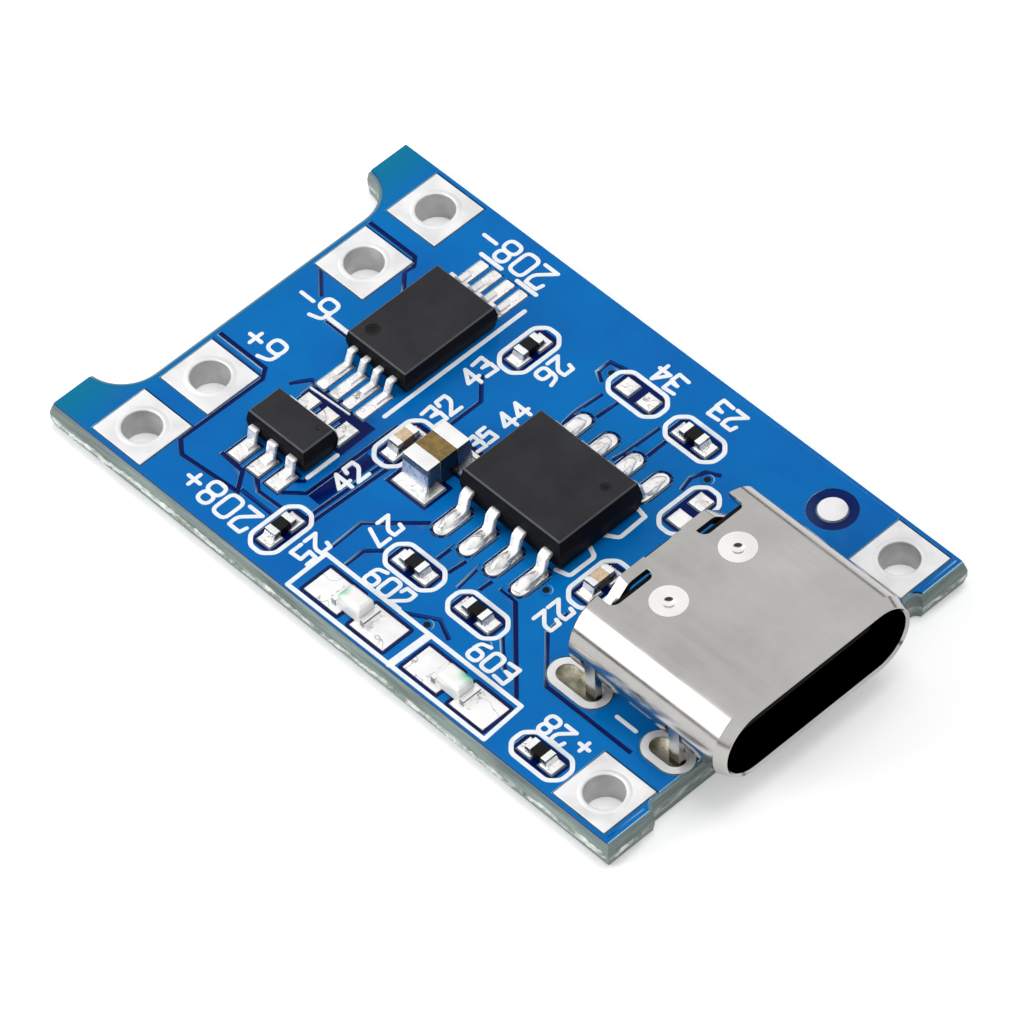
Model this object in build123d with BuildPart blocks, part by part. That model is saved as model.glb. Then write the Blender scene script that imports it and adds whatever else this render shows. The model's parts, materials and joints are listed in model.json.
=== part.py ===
from build123d import *
import os

# Lithium battery charger module: one circuit board with wire pads, three chips, small
# chip parts, two status lamps and a charging socket. Sizes are in millimetres.
# Origin: centre of the board's underside. +X runs to the socket end, +Y across, +Z up.

# Circuit board
board_thickness = 1.2
mask_thickness = 0.04
foil_step = 0.04
mask_setback = 0.12
mask_clearance = 0.05
foil_setback = 0.26
foil_gap = 0.18
wide_foil_gap = 0.62
part_isolation = 0.2
chip_isolation = 0.12
score_depth = 0.38
score_inset = 0.1
battery_recess_depth = 1.6
battery_tab_width = 1.82
socket_recess_depth = 0.32
socket_tab_width = 2.05

# Wire pads, a square tinned land with a plated hole
wire_pad_size = 2.42
wire_hole_diameter = 1.45
plating = 0.06
land_rise = 0.02
battery_pad_setback = 3.12
input_pad_setback = 1.7
side_pad_margin = 0.22
input_pad_gap = 0.75
plus_pad_pitch = 3.17
minus_pad_pitch = 3.45

# Charger chip, eight gull-wing leads
charger_body_length = 4.9
charger_body_width = 3.9
charger_body_height = 1.4
charger_pitch = 1.27
charger_lead_width = 0.42
charger_lead_thickness = 0.2
charger_lead_bend = 0.12
charger_lead_span = 6.0
charger_foot = 0.65
charger_land_length = 1.55
charger_land_width = 0.62
charger_land_reach = 3.65
charger_dimple_diameter = 0.42
charger_mark = (1.72, 0.95)

# Battery switch chip, eight fine leads
switch_body_length = 3.0
switch_body_width = 4.4
switch_body_height = 0.95
switch_pitch = 0.65
switch_lead_width = 0.26
switch_lead_thickness = 0.14
switch_lead_span = 6.4
switch_foot = 0.55
switch_land_length = 1.45
switch_land_width = 0.42
switch_land_reach = 3.95
switch_dot_diameter = 0.55
switch_mark = (-0.85, -1.5)

# Protection chip, six leads
guard_body_length = 2.9
guard_body_width = 1.6
guard_body_height = 1.05
guard_pitch = 0.95
guard_lead_width = 0.4
guard_lead_thickness = 0.15
guard_lead_span = 2.8
guard_foot = 0.35
guard_land_length = 0.95
guard_land_width = 0.6
guard_land_reach = 1.9
guard_dot_diameter = 0.2
guard_mark = (0.95, 0.38)

# Shared chip form
chip_standoff = 0.1
chip_draft = 10
chip_edge_bevel = 0.05
mark_depth = 0.07

# Chip resistors and small capacitors
chip_length = 1.0
chip_width = 0.5
resistor_height = 0.35
small_capacitor_height = 0.5
chip_cap_length = 0.25
chip_skin = 0.02
chip_land_size = 0.62
chip_land_gap = 0.4

# Tall input capacitor
tall_length = 2.0
tall_width = 1.25
tall_height = 1.25
tall_cap_length = 0.6
tall_land_length = 1.0
tall_land_width = 1.6
tall_land_gap = 0.8

# Status lamps
lamp_length = 1.6
lamp_width = 0.8
lamp_base_height = 0.3
lamp_lens_length = 1.14
lamp_lens_height = 0.42
lamp_terminal_length = 0.2
lamp_land_length = 1.62
lamp_land_width = 1.24
lamp_land_gap = 0.62
lens_draft = 6
lens_bevel = 0.1

# Solder at the ends of the small parts
fillet_reach = 0.26
fillet_share = 0.7
lamp_fillet_reach = 0.5

# Charging socket
shell_width = 9.0
shell_height = 3.24
shell_length = 7.32
shell_wall = 0.3
shell_lift = 0.1
socket_gap = 3.45
socket_overhang = 1.37
shell_edge_bevel = 0.08
mouth_bevel_length = 0.45
mouth_bevel_drop = 0.18
mouth_lead_in = 0.08
notch_width = 1.95
notch_depth = 0.85
notch_inner_y = 1.15
notch_corner = 0.3
wing_length = 0.45
wing_reach = 1.55
wing_drop = 0.7
dimple_diameter = 1.36
dimple_sink = 0.18
dimple_taper = 66
dimple_setback = 1.96
dimple_spacing = 3.24
leg_inset = 0.18
rear_leg_setback = 1.03
front_leg_inset = 2.33
leg_width = 0.5
leg_relief = 0.15
leg_end = 0.15
leg_solder_height = 0.75
leg_solder_length = 0.66
rear_solder_setback = 0.62
tail_opening_depth = 1.5
tail_opening_width = 6.4
rear_slot_setback = 0.36
rear_slot_length = 2.0
front_slot_length = 1.5
front_slot_inset = 2.77
slot_width = 0.82
slot_rim = 0.28
tongue_side_gap = 0.855
tongue_thickness = 0.7
tongue_setback = 0.8
tongue_root_length = 1.0
tongue_root_thickness = 1.15
tongue_tip_bevel = 0.1
housing_length = 1.0
housing_clearance = 0.02
housing_gap = 0.06
contact_thickness = 0.06
contact_sink = 0.04
contact_setback = 0.3
contact_width = 0.25
contact_length = 3.2
tail_reach = 0.4
tail_thickness = 0.15
tail_width = 0.55
tail_riser = 0.9
tail_land_length = 0.9
edge_plate_thickness = 0.16
edge_plate_lip = 0.08

# Alignment disc
disc_diameter = 1.05
disc_clearing = 1.85

# Contact rows of the socket, as shares of the tongue's width
upper_contact_shares = (-0.41, -0.187, -0.112, 0.187, 0.41)
lower_contact_shares = (-0.41, -0.187, 0.112, 0.187, 0.41)
tail_shares = (-0.41, -0.227, -0.075, 0.075, 0.227, 0.41)

# Where things stand: distance from the battery end, then place across the board
charger_place = (15.7, 0.44)
switch_place = (7.16, 2.5)
guard_place = (7.34, -3.8)
tall_capacitor_place = (11.8, -1.2)

# Parts that stand by an edge: distance from the battery end or the socket end, then from the
# nearer long edge
disc_station = 22.7
disc_margin = 1.56
sense_station = 9.92
sense_margin = 1.73
lamp_margin = 1.13
input_resistor_setback = 4.3
input_resistor_margin = 1.12

# Board size, from the parts that it carries
leg_spread = shell_width - 2 * leg_inset
board_width = (
    leg_spread + slot_width + 2 * (slot_rim + input_pad_gap)
    + 2 * (wire_pad_size + side_pad_margin + score_inset)
)
socket_rear = charger_place[0] + charger_body_length / 2 + socket_gap
board_length = socket_rear + shell_length - socket_overhang
near_edge = -board_width / 2

# Chip parts: name, distance from the battery end, place across, turned to lie across the board
resistor_places = {
    "charge_resistor": (14.38, -4.72, False),
    "lamp_resistor": (17.4, -4.68, False),
    "sense_resistor": (sense_station, near_edge + sense_margin, True),
    "gate_resistor": (10.17, 4.72, True),
    "program_resistor": (17.15, 5.85, False),
    "input_resistor": (
        board_length - input_resistor_setback, near_edge + input_resistor_margin, False
    ),
}
capacitor_places = {
    "supply_capacitor": (10.15, -1.2, True),
    "input_capacitor": (19.38, -0.86, True),
}
bare_places = {
    "spare_pads_near": (14.32, 5.95, False),
    "spare_pads_rear": (19.28, 3.55, True),
}
lamp_places = {
    "charging_lamp": (14.3, near_edge + lamp_margin),
    "full_lamp": (19.15, near_edge + lamp_margin),
}

# Middles of the bare gaps cut between areas of foil, as routes of the same kind of places:
# first round the battery wires and the protection chip, then the charger chip's tracks from the
# battery end to the socket, then the tracks on its far side and those of the wires' pads
foil_gaps = [
    [
        (1.7, -2.2), (4.2, -2.2), (4.5, -2.6), (4.45, -6.4),
        (5.0, -6.85), (7.6, -6.65), (7.05, -5.9), (5.9, -5.85),
    ],
    [(7.25, -5.25), (7.55, -5.7), (8.1, -6.15), (9.3, -6.1)],
    [(7.6, -6.5), (9.3, -6.5)],
    [(8.5, -5.1), (8.9, -4.75), (8.9, -3.1)],
    [(8.7, -5.65), (9.35, -5.05), (9.4, -0.8)],
    [(5.3, -2.1), (5.75, -1.45), (7.65, -1.4)],
    [(10.15, -5.75), (10.3, -2.0)],
    [(10.4, -6.0), (10.65, 0.55), (10.65, 1.95), (9.8, 2.8)],
    [
        (11.7, -6.1), (11.65, -4.65), (13.35, -3.0),
    ],
    [(12.6, -6.3), (12.6, -5.45), (13.1, -4.95)],
    [(14.65, -3.1), (14.65, -3.95)],
    [(15.45, -3.1), (15.35, -4.1)],
    [(15.9, -3.1), (16.05, -4.35)],
    [(16.7, -3.1), (16.65, -3.9)],
    [(17.1, -3.35), (17.85, -3.35), (20.95, -6.3)],
    [(18.65, -4.75), (19.65, -5.65), (20.05, -5.75)],
    [(19.5, -2.5), (19.6, -3.55), (21.25, -5.2), (25.3, -5.2)],
    [(15.4, -6.45), (16.65, -5.7), (17.5, -6.1)],
    [(13.4, 5.1), (13.3, 3.9), (13.4, 3.2)],
    [(14.05, 5.2), (14.0, 4.05)],
    [(15.9, 5.4), (15.85, 3.85), (15.75, 3.25)],
    [(16.5, 5.2), (16.5, 4.15)],
    [(13.0, 5.45), (12.55, 5.7), (12.55, 6.3), (13.25, 6.45)],
    [(18.4, 3.95), (18.25, 4.55), (18.45, 5.1), (18.95, 5.35)],
    [(2.1, 2.4), (3.2, 1.4)],
    [(1.7, 4.95), (4.2, 4.95), (4.5, 4.6), (4.45, 4.2), (5.1, 3.55)],
    [(4.1, 0.75), (5.45, 0.75)],
]
wide_foil_gaps = [
    [(5.9, -1.85), (8.65, -1.75), (8.65, -3.1)],
    [(9.75, -5.1), (9.8, -2.4)],
]

# Heights and places worked out from the above
face_width = board_width - 2 * score_inset
core_bottom = mask_thickness
core_top = board_thickness - foil_step - mask_thickness
land_top = board_thickness + land_rise
land_thickness = land_top - core_top
drill_diameter = wire_hole_diameter + 2 * plating
outer_pad_y = face_width / 2 - side_pad_margin - wire_pad_size / 2
battery_plus_y = plus_pad_pitch - outer_pad_y
battery_minus_y = outer_pad_y - minus_pad_pitch
shell_floor = board_thickness + shell_lift
socket_middle = shell_floor + shell_height / 2
shell_rear = socket_rear - board_length / 2
front_leg_setback = shell_length - front_leg_inset
front_slot_setback = shell_length - front_slot_inset
tongue_width = shell_width - 2 * shell_wall - 2 * tongue_side_gap
upper_contact_rows = [share * tongue_width for share in upper_contact_shares]
lower_contact_rows = [share * tongue_width for share in lower_contact_shares]
tail_rows = [share * tongue_width for share in tail_shares]
disc_point = (disc_station - board_length / 2, board_width / 2 - disc_margin)
battery_end = -board_length / 2
housing_rear = shell_rear + wing_length + housing_gap
tail_middle = shell_rear - tail_reach + tail_land_length / 2
socket_end = board_length / 2

os.makedirs("parts", exist_ok=True)


def keep(piece, name):
    """Label a finished piece and write it out."""
    piece.part.label = name
    export_step(piece.part, f"parts/{name}.step")


def along(station):
    """X of a place given by its distance from the battery end."""
    return station - board_length / 2


def seat(station, across, turned=False, height=land_top):
    """Plane on the board's top for a part, with its X axis along the part's length."""
    direction = (0, 1, 0) if turned else (1, 0, 0)
    return Plane(origin=(along(station), across, height), x_dir=direction, z_dir=(0, 0, 1))


# Wire pad centres, by name
wire_pads = {
    "out_plus_pad": (battery_pad_setback, -outer_pad_y),
    "battery_plus_pad": (battery_pad_setback, battery_plus_y),
    "battery_minus_pad": (battery_pad_setback, battery_minus_y),
    "out_minus_pad": (battery_pad_setback, outer_pad_y),
    "input_plus_pad": (board_length - input_pad_setback, -outer_pad_y),
    "input_minus_pad": (board_length - input_pad_setback, outer_pad_y),
}
wire_pad_points = [(along(station), across) for station, across in wire_pads.values()]

# Socket leg slots
rear_leg_x = shell_rear + rear_leg_setback
front_leg_x = shell_rear + front_leg_setback
rear_slot_points = [
    (shell_rear + rear_slot_setback, side * leg_spread / 2) for side in (-1, 1)
]
front_slot_points = [
    (shell_rear + front_slot_setback, side * leg_spread / 2) for side in (-1, 1)
]


def leg_slots(growth=0.0):
    """The four long holes for the socket's legs, each widened all round by growth."""
    with BuildSketch() as plan:
        with Locations(*rear_slot_points):
            SlotOverall(rear_slot_length + 2 * growth, slot_width + 2 * growth)
        with Locations(*front_slot_points):
            SlotOverall(front_slot_length + 2 * growth, slot_width + 2 * growth)
    return plan.sketch


def leg_blocks(growth=0.0):
    """Square-ended outlines round the same slots, each widened all round by growth."""
    with BuildSketch() as plan:
        with Locations(*rear_slot_points):
            Rectangle(rear_slot_length + 2 * growth, slot_width + 2 * growth)
        with Locations(*front_slot_points):
            Rectangle(front_slot_length + 2 * growth, slot_width + 2 * growth)
    return plan.sketch


def board_plan(inset=0.0):
    """Outline of the board from above, with the routed recess at each end."""
    with BuildSketch() as plan:
        Rectangle(board_length - 2 * inset, board_width - 2 * inset)
        battery_slot = face_width - 2 * battery_tab_width + 2 * inset
        with Locations((battery_end, 0)):
            SlotOverall(
                battery_slot, 2 * (battery_recess_depth + inset), rotation=90, mode=Mode.SUBTRACT
            )
        socket_slot = face_width - 2 * socket_tab_width + 2 * inset
        with Locations((socket_end, 0)):
            SlotOverall(
                socket_slot, 2 * (socket_recess_depth + inset), rotation=90, mode=Mode.SUBTRACT
            )
    return plan.sketch


def scored_profile(span):
    """Half outline of a snapped edge: a bevel above and below a broken middle web."""
    half = span / 2
    with BuildSketch() as profile:
        with BuildLine():
            Polyline(
                (half - score_inset, core_bottom),
                (half, core_bottom + score_depth),
                (half, core_top - score_depth),
                (half - score_inset, core_top),
                (-half + score_inset, core_top),
                (-half, core_top - score_depth),
                (-half, core_bottom + score_depth),
                (-half + score_inset, core_bottom),
                close=True,
            )
        make_face()
    return profile.sketch


# Glass-fibre board with its recesses, drilled holes and routed leg slots
with BuildPart() as circuit_board:
    with BuildSketch(Plane.YZ) as across_section:
        add(scored_profile(board_width))
    extrude(amount=board_length / 2, both=True)
    with BuildSketch(Plane.XZ) as long_section:
        add(scored_profile(board_length))
    extrude(amount=board_width / 2, both=True, mode=Mode.INTERSECT)
    with BuildSketch(Plane.XY) as outline:
        add(board_plan())
    extrude(amount=board_thickness, mode=Mode.INTERSECT)
    with BuildSketch(Plane.XY) as openings:
        with Locations(*wire_pad_points):
            Circle(drill_diameter / 2)
        add(leg_blocks(plating))
    extrude(amount=board_thickness, mode=Mode.SUBTRACT)
keep(circuit_board, "circuit_board")


def two_row_lands(place, pitch, per_side, reach, length, width, growth=0.0):
    """Lands of a chip with a row of leads along each long side."""
    station, across = place
    with BuildSketch() as plan:
        with Locations((along(station), across)):
            with GridLocations(pitch, 2 * reach - length, per_side, 2):
                Rectangle(width + 2 * growth, length + 2 * growth)
    return plan.sketch


def pair_lands(place, gap, length, width, growth=0.0):
    """The two lands of a part with a terminal at each end."""
    station, across, turned = place
    with BuildSketch() as plan:
        with Locations(Location((along(station), across, 0), (0, 0, 90 if turned else 0))):
            with GridLocations(gap + length, 1, 2, 1):
                Rectangle(length + 2 * growth, width + 2 * growth)
    return plan.sketch


def charger_lands(growth=0.0):
    return two_row_lands(
        charger_place, charger_pitch, 4, charger_land_reach,
        charger_land_length, charger_land_width, growth,
    )


def switch_lands(growth=0.0):
    return two_row_lands(
        switch_place, switch_pitch, 4, switch_land_reach,
        switch_land_length, switch_land_width, growth,
    )


def guard_lands(growth=0.0):
    return two_row_lands(
        guard_place, guard_pitch, 3, guard_land_reach,
        guard_land_length, guard_land_width, growth,
    )


def chip_part_lands(growth=0.0):
    places = [*resistor_places.values(), *capacitor_places.values(), *bare_places.values()]
    with BuildSketch() as plan:
        for place in places:
            add(pair_lands(place, chip_land_gap, chip_land_size, chip_land_size, growth))
        tall_place = (*tall_capacitor_place, True)
        add(pair_lands(tall_place, tall_land_gap, tall_land_length, tall_land_width, growth))
    return plan.sketch


def lamp_lands(growth=0.0):
    with BuildSketch() as plan:
        for station, across in lamp_places.values():
            place = (station, across, False)
            add(pair_lands(place, lamp_land_gap, lamp_land_length, lamp_land_width, growth))
    return plan.sketch


def tail_lands(growth=0.0):
    with BuildSketch() as plan:
        with Locations(*[(tail_middle, across) for across in tail_rows]):
            Rectangle(tail_land_length + 2 * growth, tail_width + 2 * growth)
    return plan.sketch


def wire_pad_lands(growth=0.0):
    with BuildSketch() as plan:
        with Locations(*wire_pad_points):
            Rectangle(wire_pad_size + 2 * growth, wire_pad_size + 2 * growth)
    return plan.sketch


def leg_rims(growth=0.0):
    return leg_slots(slot_rim + growth)


def leg_pads(growth=0.0):
    """Square-cornered lands round the slots on the underside."""
    return leg_blocks(slot_rim + growth)


# Blue solder mask on the component side, raised where it runs over the copper foil
with BuildPart() as solder_mask_top:
    with BuildSketch(Plane.XY.offset(core_top)) as mask_outline:
        add(board_plan(mask_setback))
    extrude(amount=mask_thickness)
    with BuildSketch(Plane.XY.offset(core_top + mask_thickness)) as foil_outline:
        add(board_plan(foil_setback))
        for routes, gap_width in ((foil_gaps, foil_gap), (wide_foil_gaps, wide_foil_gap)):
            for route in routes:
                points = [(along(station), across) for station, across in route]
                with BuildLine() as middle:
                    Polyline(*points)
                trace(middle.line, line_width=gap_width, mode=Mode.SUBTRACT)
        add(chip_part_lands(part_isolation), mode=Mode.SUBTRACT)
        add(charger_lands(chip_isolation), mode=Mode.SUBTRACT)
        add(guard_lands(chip_isolation), mode=Mode.SUBTRACT)
        with Locations(disc_point):
            Circle(disc_clearing / 2, mode=Mode.SUBTRACT)
    extrude(amount=foil_step)
    with BuildSketch(Plane.XY.offset(core_top)) as mask_openings:
        for lands in (
            charger_lands, switch_lands, guard_lands, chip_part_lands,
            lamp_lands, tail_lands, wire_pad_lands, leg_rims,
        ):
            add(lands(mask_clearance))
        with Locations(disc_point):
            Circle(disc_diameter / 2 + mask_clearance)
    extrude(amount=board_thickness, mode=Mode.SUBTRACT)
keep(solder_mask_top, "solder_mask_top")

# Solder mask on the underside
with BuildPart() as solder_mask_bottom:
    with BuildSketch(Plane.XY) as lower_outline:
        add(board_plan(mask_setback))
        add(wire_pad_lands(mask_clearance), mode=Mode.SUBTRACT)
        add(leg_pads(mask_clearance), mode=Mode.SUBTRACT)
    extrude(amount=mask_thickness)
keep(solder_mask_bottom, "solder_mask_bottom")

# Wire pads: a land on each face joined by a plated barrel
for name, (station, across) in wire_pads.items():
    with BuildPart() as wire_pad:
        pad_middle = (along(station), across)
        with BuildSketch(Plane.XY.offset(core_top)) as top_land:
            with Locations(pad_middle):
                Rectangle(wire_pad_size, wire_pad_size)
        extrude(amount=land_thickness)
        with BuildSketch(Plane.XY) as bottom_land:
            with Locations(pad_middle):
                Rectangle(wire_pad_size, wire_pad_size)
        extrude(amount=core_bottom)
        with BuildSketch(Plane.XY) as barrel:
            with Locations(pad_middle):
                Circle(drill_diameter / 2)
        extrude(amount=land_top)
        with BuildSketch(Plane.XY) as bore:
            with Locations(pad_middle):
                Circle(wire_hole_diameter / 2)
        extrude(amount=land_top, mode=Mode.SUBTRACT)
    keep(wire_pad, name)

# Bare copper disc used to line the board up on the assembly line
with BuildPart() as alignment_disc:
    with BuildSketch(Plane.XY.offset(core_top)) as disc:
        with Locations(disc_point):
            Circle(disc_diameter / 2)
    extrude(amount=land_thickness)
keep(alignment_disc, "alignment_disc")

# Tinned lands, one group for each kind of part
land_groups = {
    "charger_chip_lands": charger_lands,
    "switch_chip_lands": switch_lands,
    "guard_chip_lands": guard_lands,
    "chip_part_lands": chip_part_lands,
    "lamp_lands": lamp_lands,
    "socket_tail_lands": tail_lands,
}
for name, lands in land_groups.items():
    with BuildPart() as land_group:
        with BuildSketch(Plane.XY.offset(core_top)) as land_plan:
            add(lands())
        extrude(amount=land_thickness)
    keep(land_group, name)

# Plated slots for the socket's legs
with BuildPart() as socket_leg_eyelets:
    with BuildSketch(Plane.XY.offset(core_top)) as top_rims:
        add(leg_rims())
    extrude(amount=land_thickness)
    with BuildSketch(Plane.XY) as bottom_rims:
        add(leg_pads())
    extrude(amount=core_bottom)
    with BuildSketch(Plane.XY) as slot_barrels:
        add(leg_blocks(plating))
    extrude(amount=core_top)
    with BuildSketch(Plane.XY) as slot_bores:
        add(leg_slots())
    extrude(amount=land_top, mode=Mode.SUBTRACT)
keep(socket_leg_eyelets, "socket_leg_eyelets")


def chip_body(place, length, width, height, band):
    """Moulded chip body: tapered above and below a straight band where the leads come out."""
    station, across = place
    parting = land_top + chip_standoff + height / 2
    middle = (along(station), across)
    with BuildPart() as body:
        with BuildSketch(Plane.XY.offset(parting - band / 2)) as band_plan:
            with Locations(middle):
                Rectangle(length, width)
        extrude(amount=band)
        with BuildSketch(Plane.XY.offset(parting + band / 2)) as upper_plan:
            with Locations(middle):
                Rectangle(length, width)
        extrude(amount=(height - band) / 2, taper=chip_draft)
        with BuildSketch(Plane.XY.offset(parting - band / 2)) as lower_plan:
            with Locations(middle):
                Rectangle(length, width)
        extrude(amount=-(height - band) / 2, taper=chip_draft)
        chamfer(body.faces().sort_by(Axis.Z)[-1].edges(), chip_edge_bevel)
    return body


def mark_pin_one(body, place, offset, diameter):
    """Sink the round pin-one mark into the top of a chip body."""
    top = body.part.faces().sort_by(Axis.Z)[-1].center().Z
    x = along(place[0]) + offset[0]
    y = place[1] + offset[1]
    with BuildPart() as marked:
        add(body.part)
        with BuildSketch(Plane.XY.offset(top)) as mark:
            with Locations((x, y)):
                Circle(diameter / 2)
        extrude(amount=-mark_depth, mode=Mode.SUBTRACT)
    return marked


def gull_leads(
    place, pitch, per_side, body_width, body_height, lead_width, metal, span, foot, bend=0
):
    """Leads that leave the body level, step down and end in a flat foot."""
    station, across = place
    level = land_top + chip_standoff + body_height / 2
    sole = land_top + metal / 2
    knee = body_width / 2 + (span / 2 - foot - body_width / 2) * 0.55
    root, shoulder = Vector(body_width / 2, level), Vector(knee, level)
    heel, toe = Vector(span / 2 - foot, sole), Vector(span / 2, sole)
    across_fold, down_slope = Vector(bend, 0), (heel - shoulder).normalized() * bend
    with BuildPart() as leads:
        for pin in range(per_side):
            x = along(station) + (pin - (per_side - 1) / 2) * pitch
            side_view = Plane(origin=(x, across, 0), x_dir=(0, 1, 0), z_dir=(1, 0, 0))
            with BuildSketch(side_view) as section:
                with BuildLine() as path:
                    if bend:
                        Polyline(
                            root, shoulder - across_fold, shoulder + down_slope,
                            heel - down_slope, heel + across_fold, toe,
                        )
                    else:
                        Polyline(root, shoulder, heel, toe)
                trace(line_width=metal)
                mirror(about=Plane.YZ)
            extrude(amount=lead_width / 2, both=True)
    return leads


# Charger chip
charger_chip_body = chip_body(
    charger_place, charger_body_length, charger_body_width,
    charger_body_height, charger_lead_thickness,
)
charger_chip_body = mark_pin_one(
    charger_chip_body, charger_place, charger_mark, charger_dimple_diameter
)
keep(charger_chip_body, "charger_chip_body")
charger_chip_leads = gull_leads(
    charger_place, charger_pitch, 4, charger_body_width, charger_body_height,
    charger_lead_width, charger_lead_thickness, charger_lead_span, charger_foot,
    charger_lead_bend,
)
keep(charger_chip_leads, "charger_chip_leads")

# Battery switch chip
switch_chip_body = chip_body(
    switch_place, switch_body_length, switch_body_width,
    switch_body_height, switch_lead_thickness,
)
switch_chip_body = mark_pin_one(switch_chip_body, switch_place, switch_mark, switch_dot_diameter)
keep(switch_chip_body, "switch_chip_body")
switch_chip_leads = gull_leads(
    switch_place, switch_pitch, 4, switch_body_width, switch_body_height,
    switch_lead_width, switch_lead_thickness, switch_lead_span, switch_foot,
)
keep(switch_chip_leads, "switch_chip_leads")

# Protection chip
guard_chip_body = chip_body(
    guard_place, guard_body_length, guard_body_width,
    guard_body_height, guard_lead_thickness,
)
guard_chip_body = mark_pin_one(guard_chip_body, guard_place, guard_mark, guard_dot_diameter)
keep(guard_chip_body, "guard_chip_body")
guard_chip_leads = gull_leads(
    guard_place, guard_pitch, 3, guard_body_width, guard_body_height,
    guard_lead_width, guard_lead_thickness, guard_lead_span, guard_foot,
)
keep(guard_chip_leads, "guard_chip_leads")


def chip_part(name, place, length, width, height, cap_length):
    """A block with a metal cap over each end, standing on its two lands."""
    station, across, turned = place
    floor = seat(station, across, turned)
    with BuildPart() as core:
        with BuildSketch(floor.offset(chip_skin)) as core_plan:
            Rectangle(length - 2 * chip_skin, width - 2 * chip_skin)
        extrude(amount=height - 2 * chip_skin)
    keep(core, name + "_body")
    with BuildPart() as caps:
        with BuildSketch(floor) as cap_plan:
            with GridLocations(length - cap_length, 1, 2, 1):
                Rectangle(cap_length, width)
        extrude(amount=height)
        add(core.part, mode=Mode.SUBTRACT)
    keep(caps, name + "_caps")


for name, place in resistor_places.items():
    chip_part(name, place, chip_length, chip_width, resistor_height, chip_cap_length)
for name, place in capacitor_places.items():
    chip_part(name, place, chip_length, chip_width, small_capacitor_height, chip_cap_length)
chip_part(
    "battery_capacitor", (*tall_capacitor_place, True),
    tall_length, tall_width, tall_height, tall_cap_length,
)

# Status lamps: a base with a terminal round each end and a milky lens on top
for name, (station, across) in lamp_places.items():
    floor = seat(station, across)
    with BuildPart() as lamp_base:
        with BuildSketch(floor.offset(chip_skin)) as base_plan:
            Rectangle(lamp_length - 2 * chip_skin, lamp_width - 2 * chip_skin)
        extrude(amount=lamp_base_height - 2 * chip_skin)
    keep(lamp_base, name + "_base")
    with BuildPart() as lamp_terminals:
        with BuildSketch(floor) as terminal_plan:
            with GridLocations(lamp_length - lamp_terminal_length, 1, 2, 1):
                Rectangle(lamp_terminal_length, lamp_width)
        extrude(amount=lamp_base_height)
        add(lamp_base.part, mode=Mode.SUBTRACT)
    keep(lamp_terminals, name + "_terminals")
    with BuildPart() as lamp_lens:
        with BuildSketch(floor.offset(lamp_base_height - chip_skin)) as lens_plan:
            Rectangle(lamp_lens_length, lamp_width - 2 * chip_skin)
        extrude(amount=lamp_lens_height, taper=lens_draft)
        chamfer(lamp_lens.faces().sort_by(Axis.Z)[-1].edges(), lens_bevel)
    keep(lamp_lens, name + "_lens")


shell_top = shell_floor + shell_height
shell_ceiling = shell_top - shell_wall
dimple_points = [(shell_rear + dimple_setback, side * dimple_spacing / 2) for side in (-1, 1)]

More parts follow.
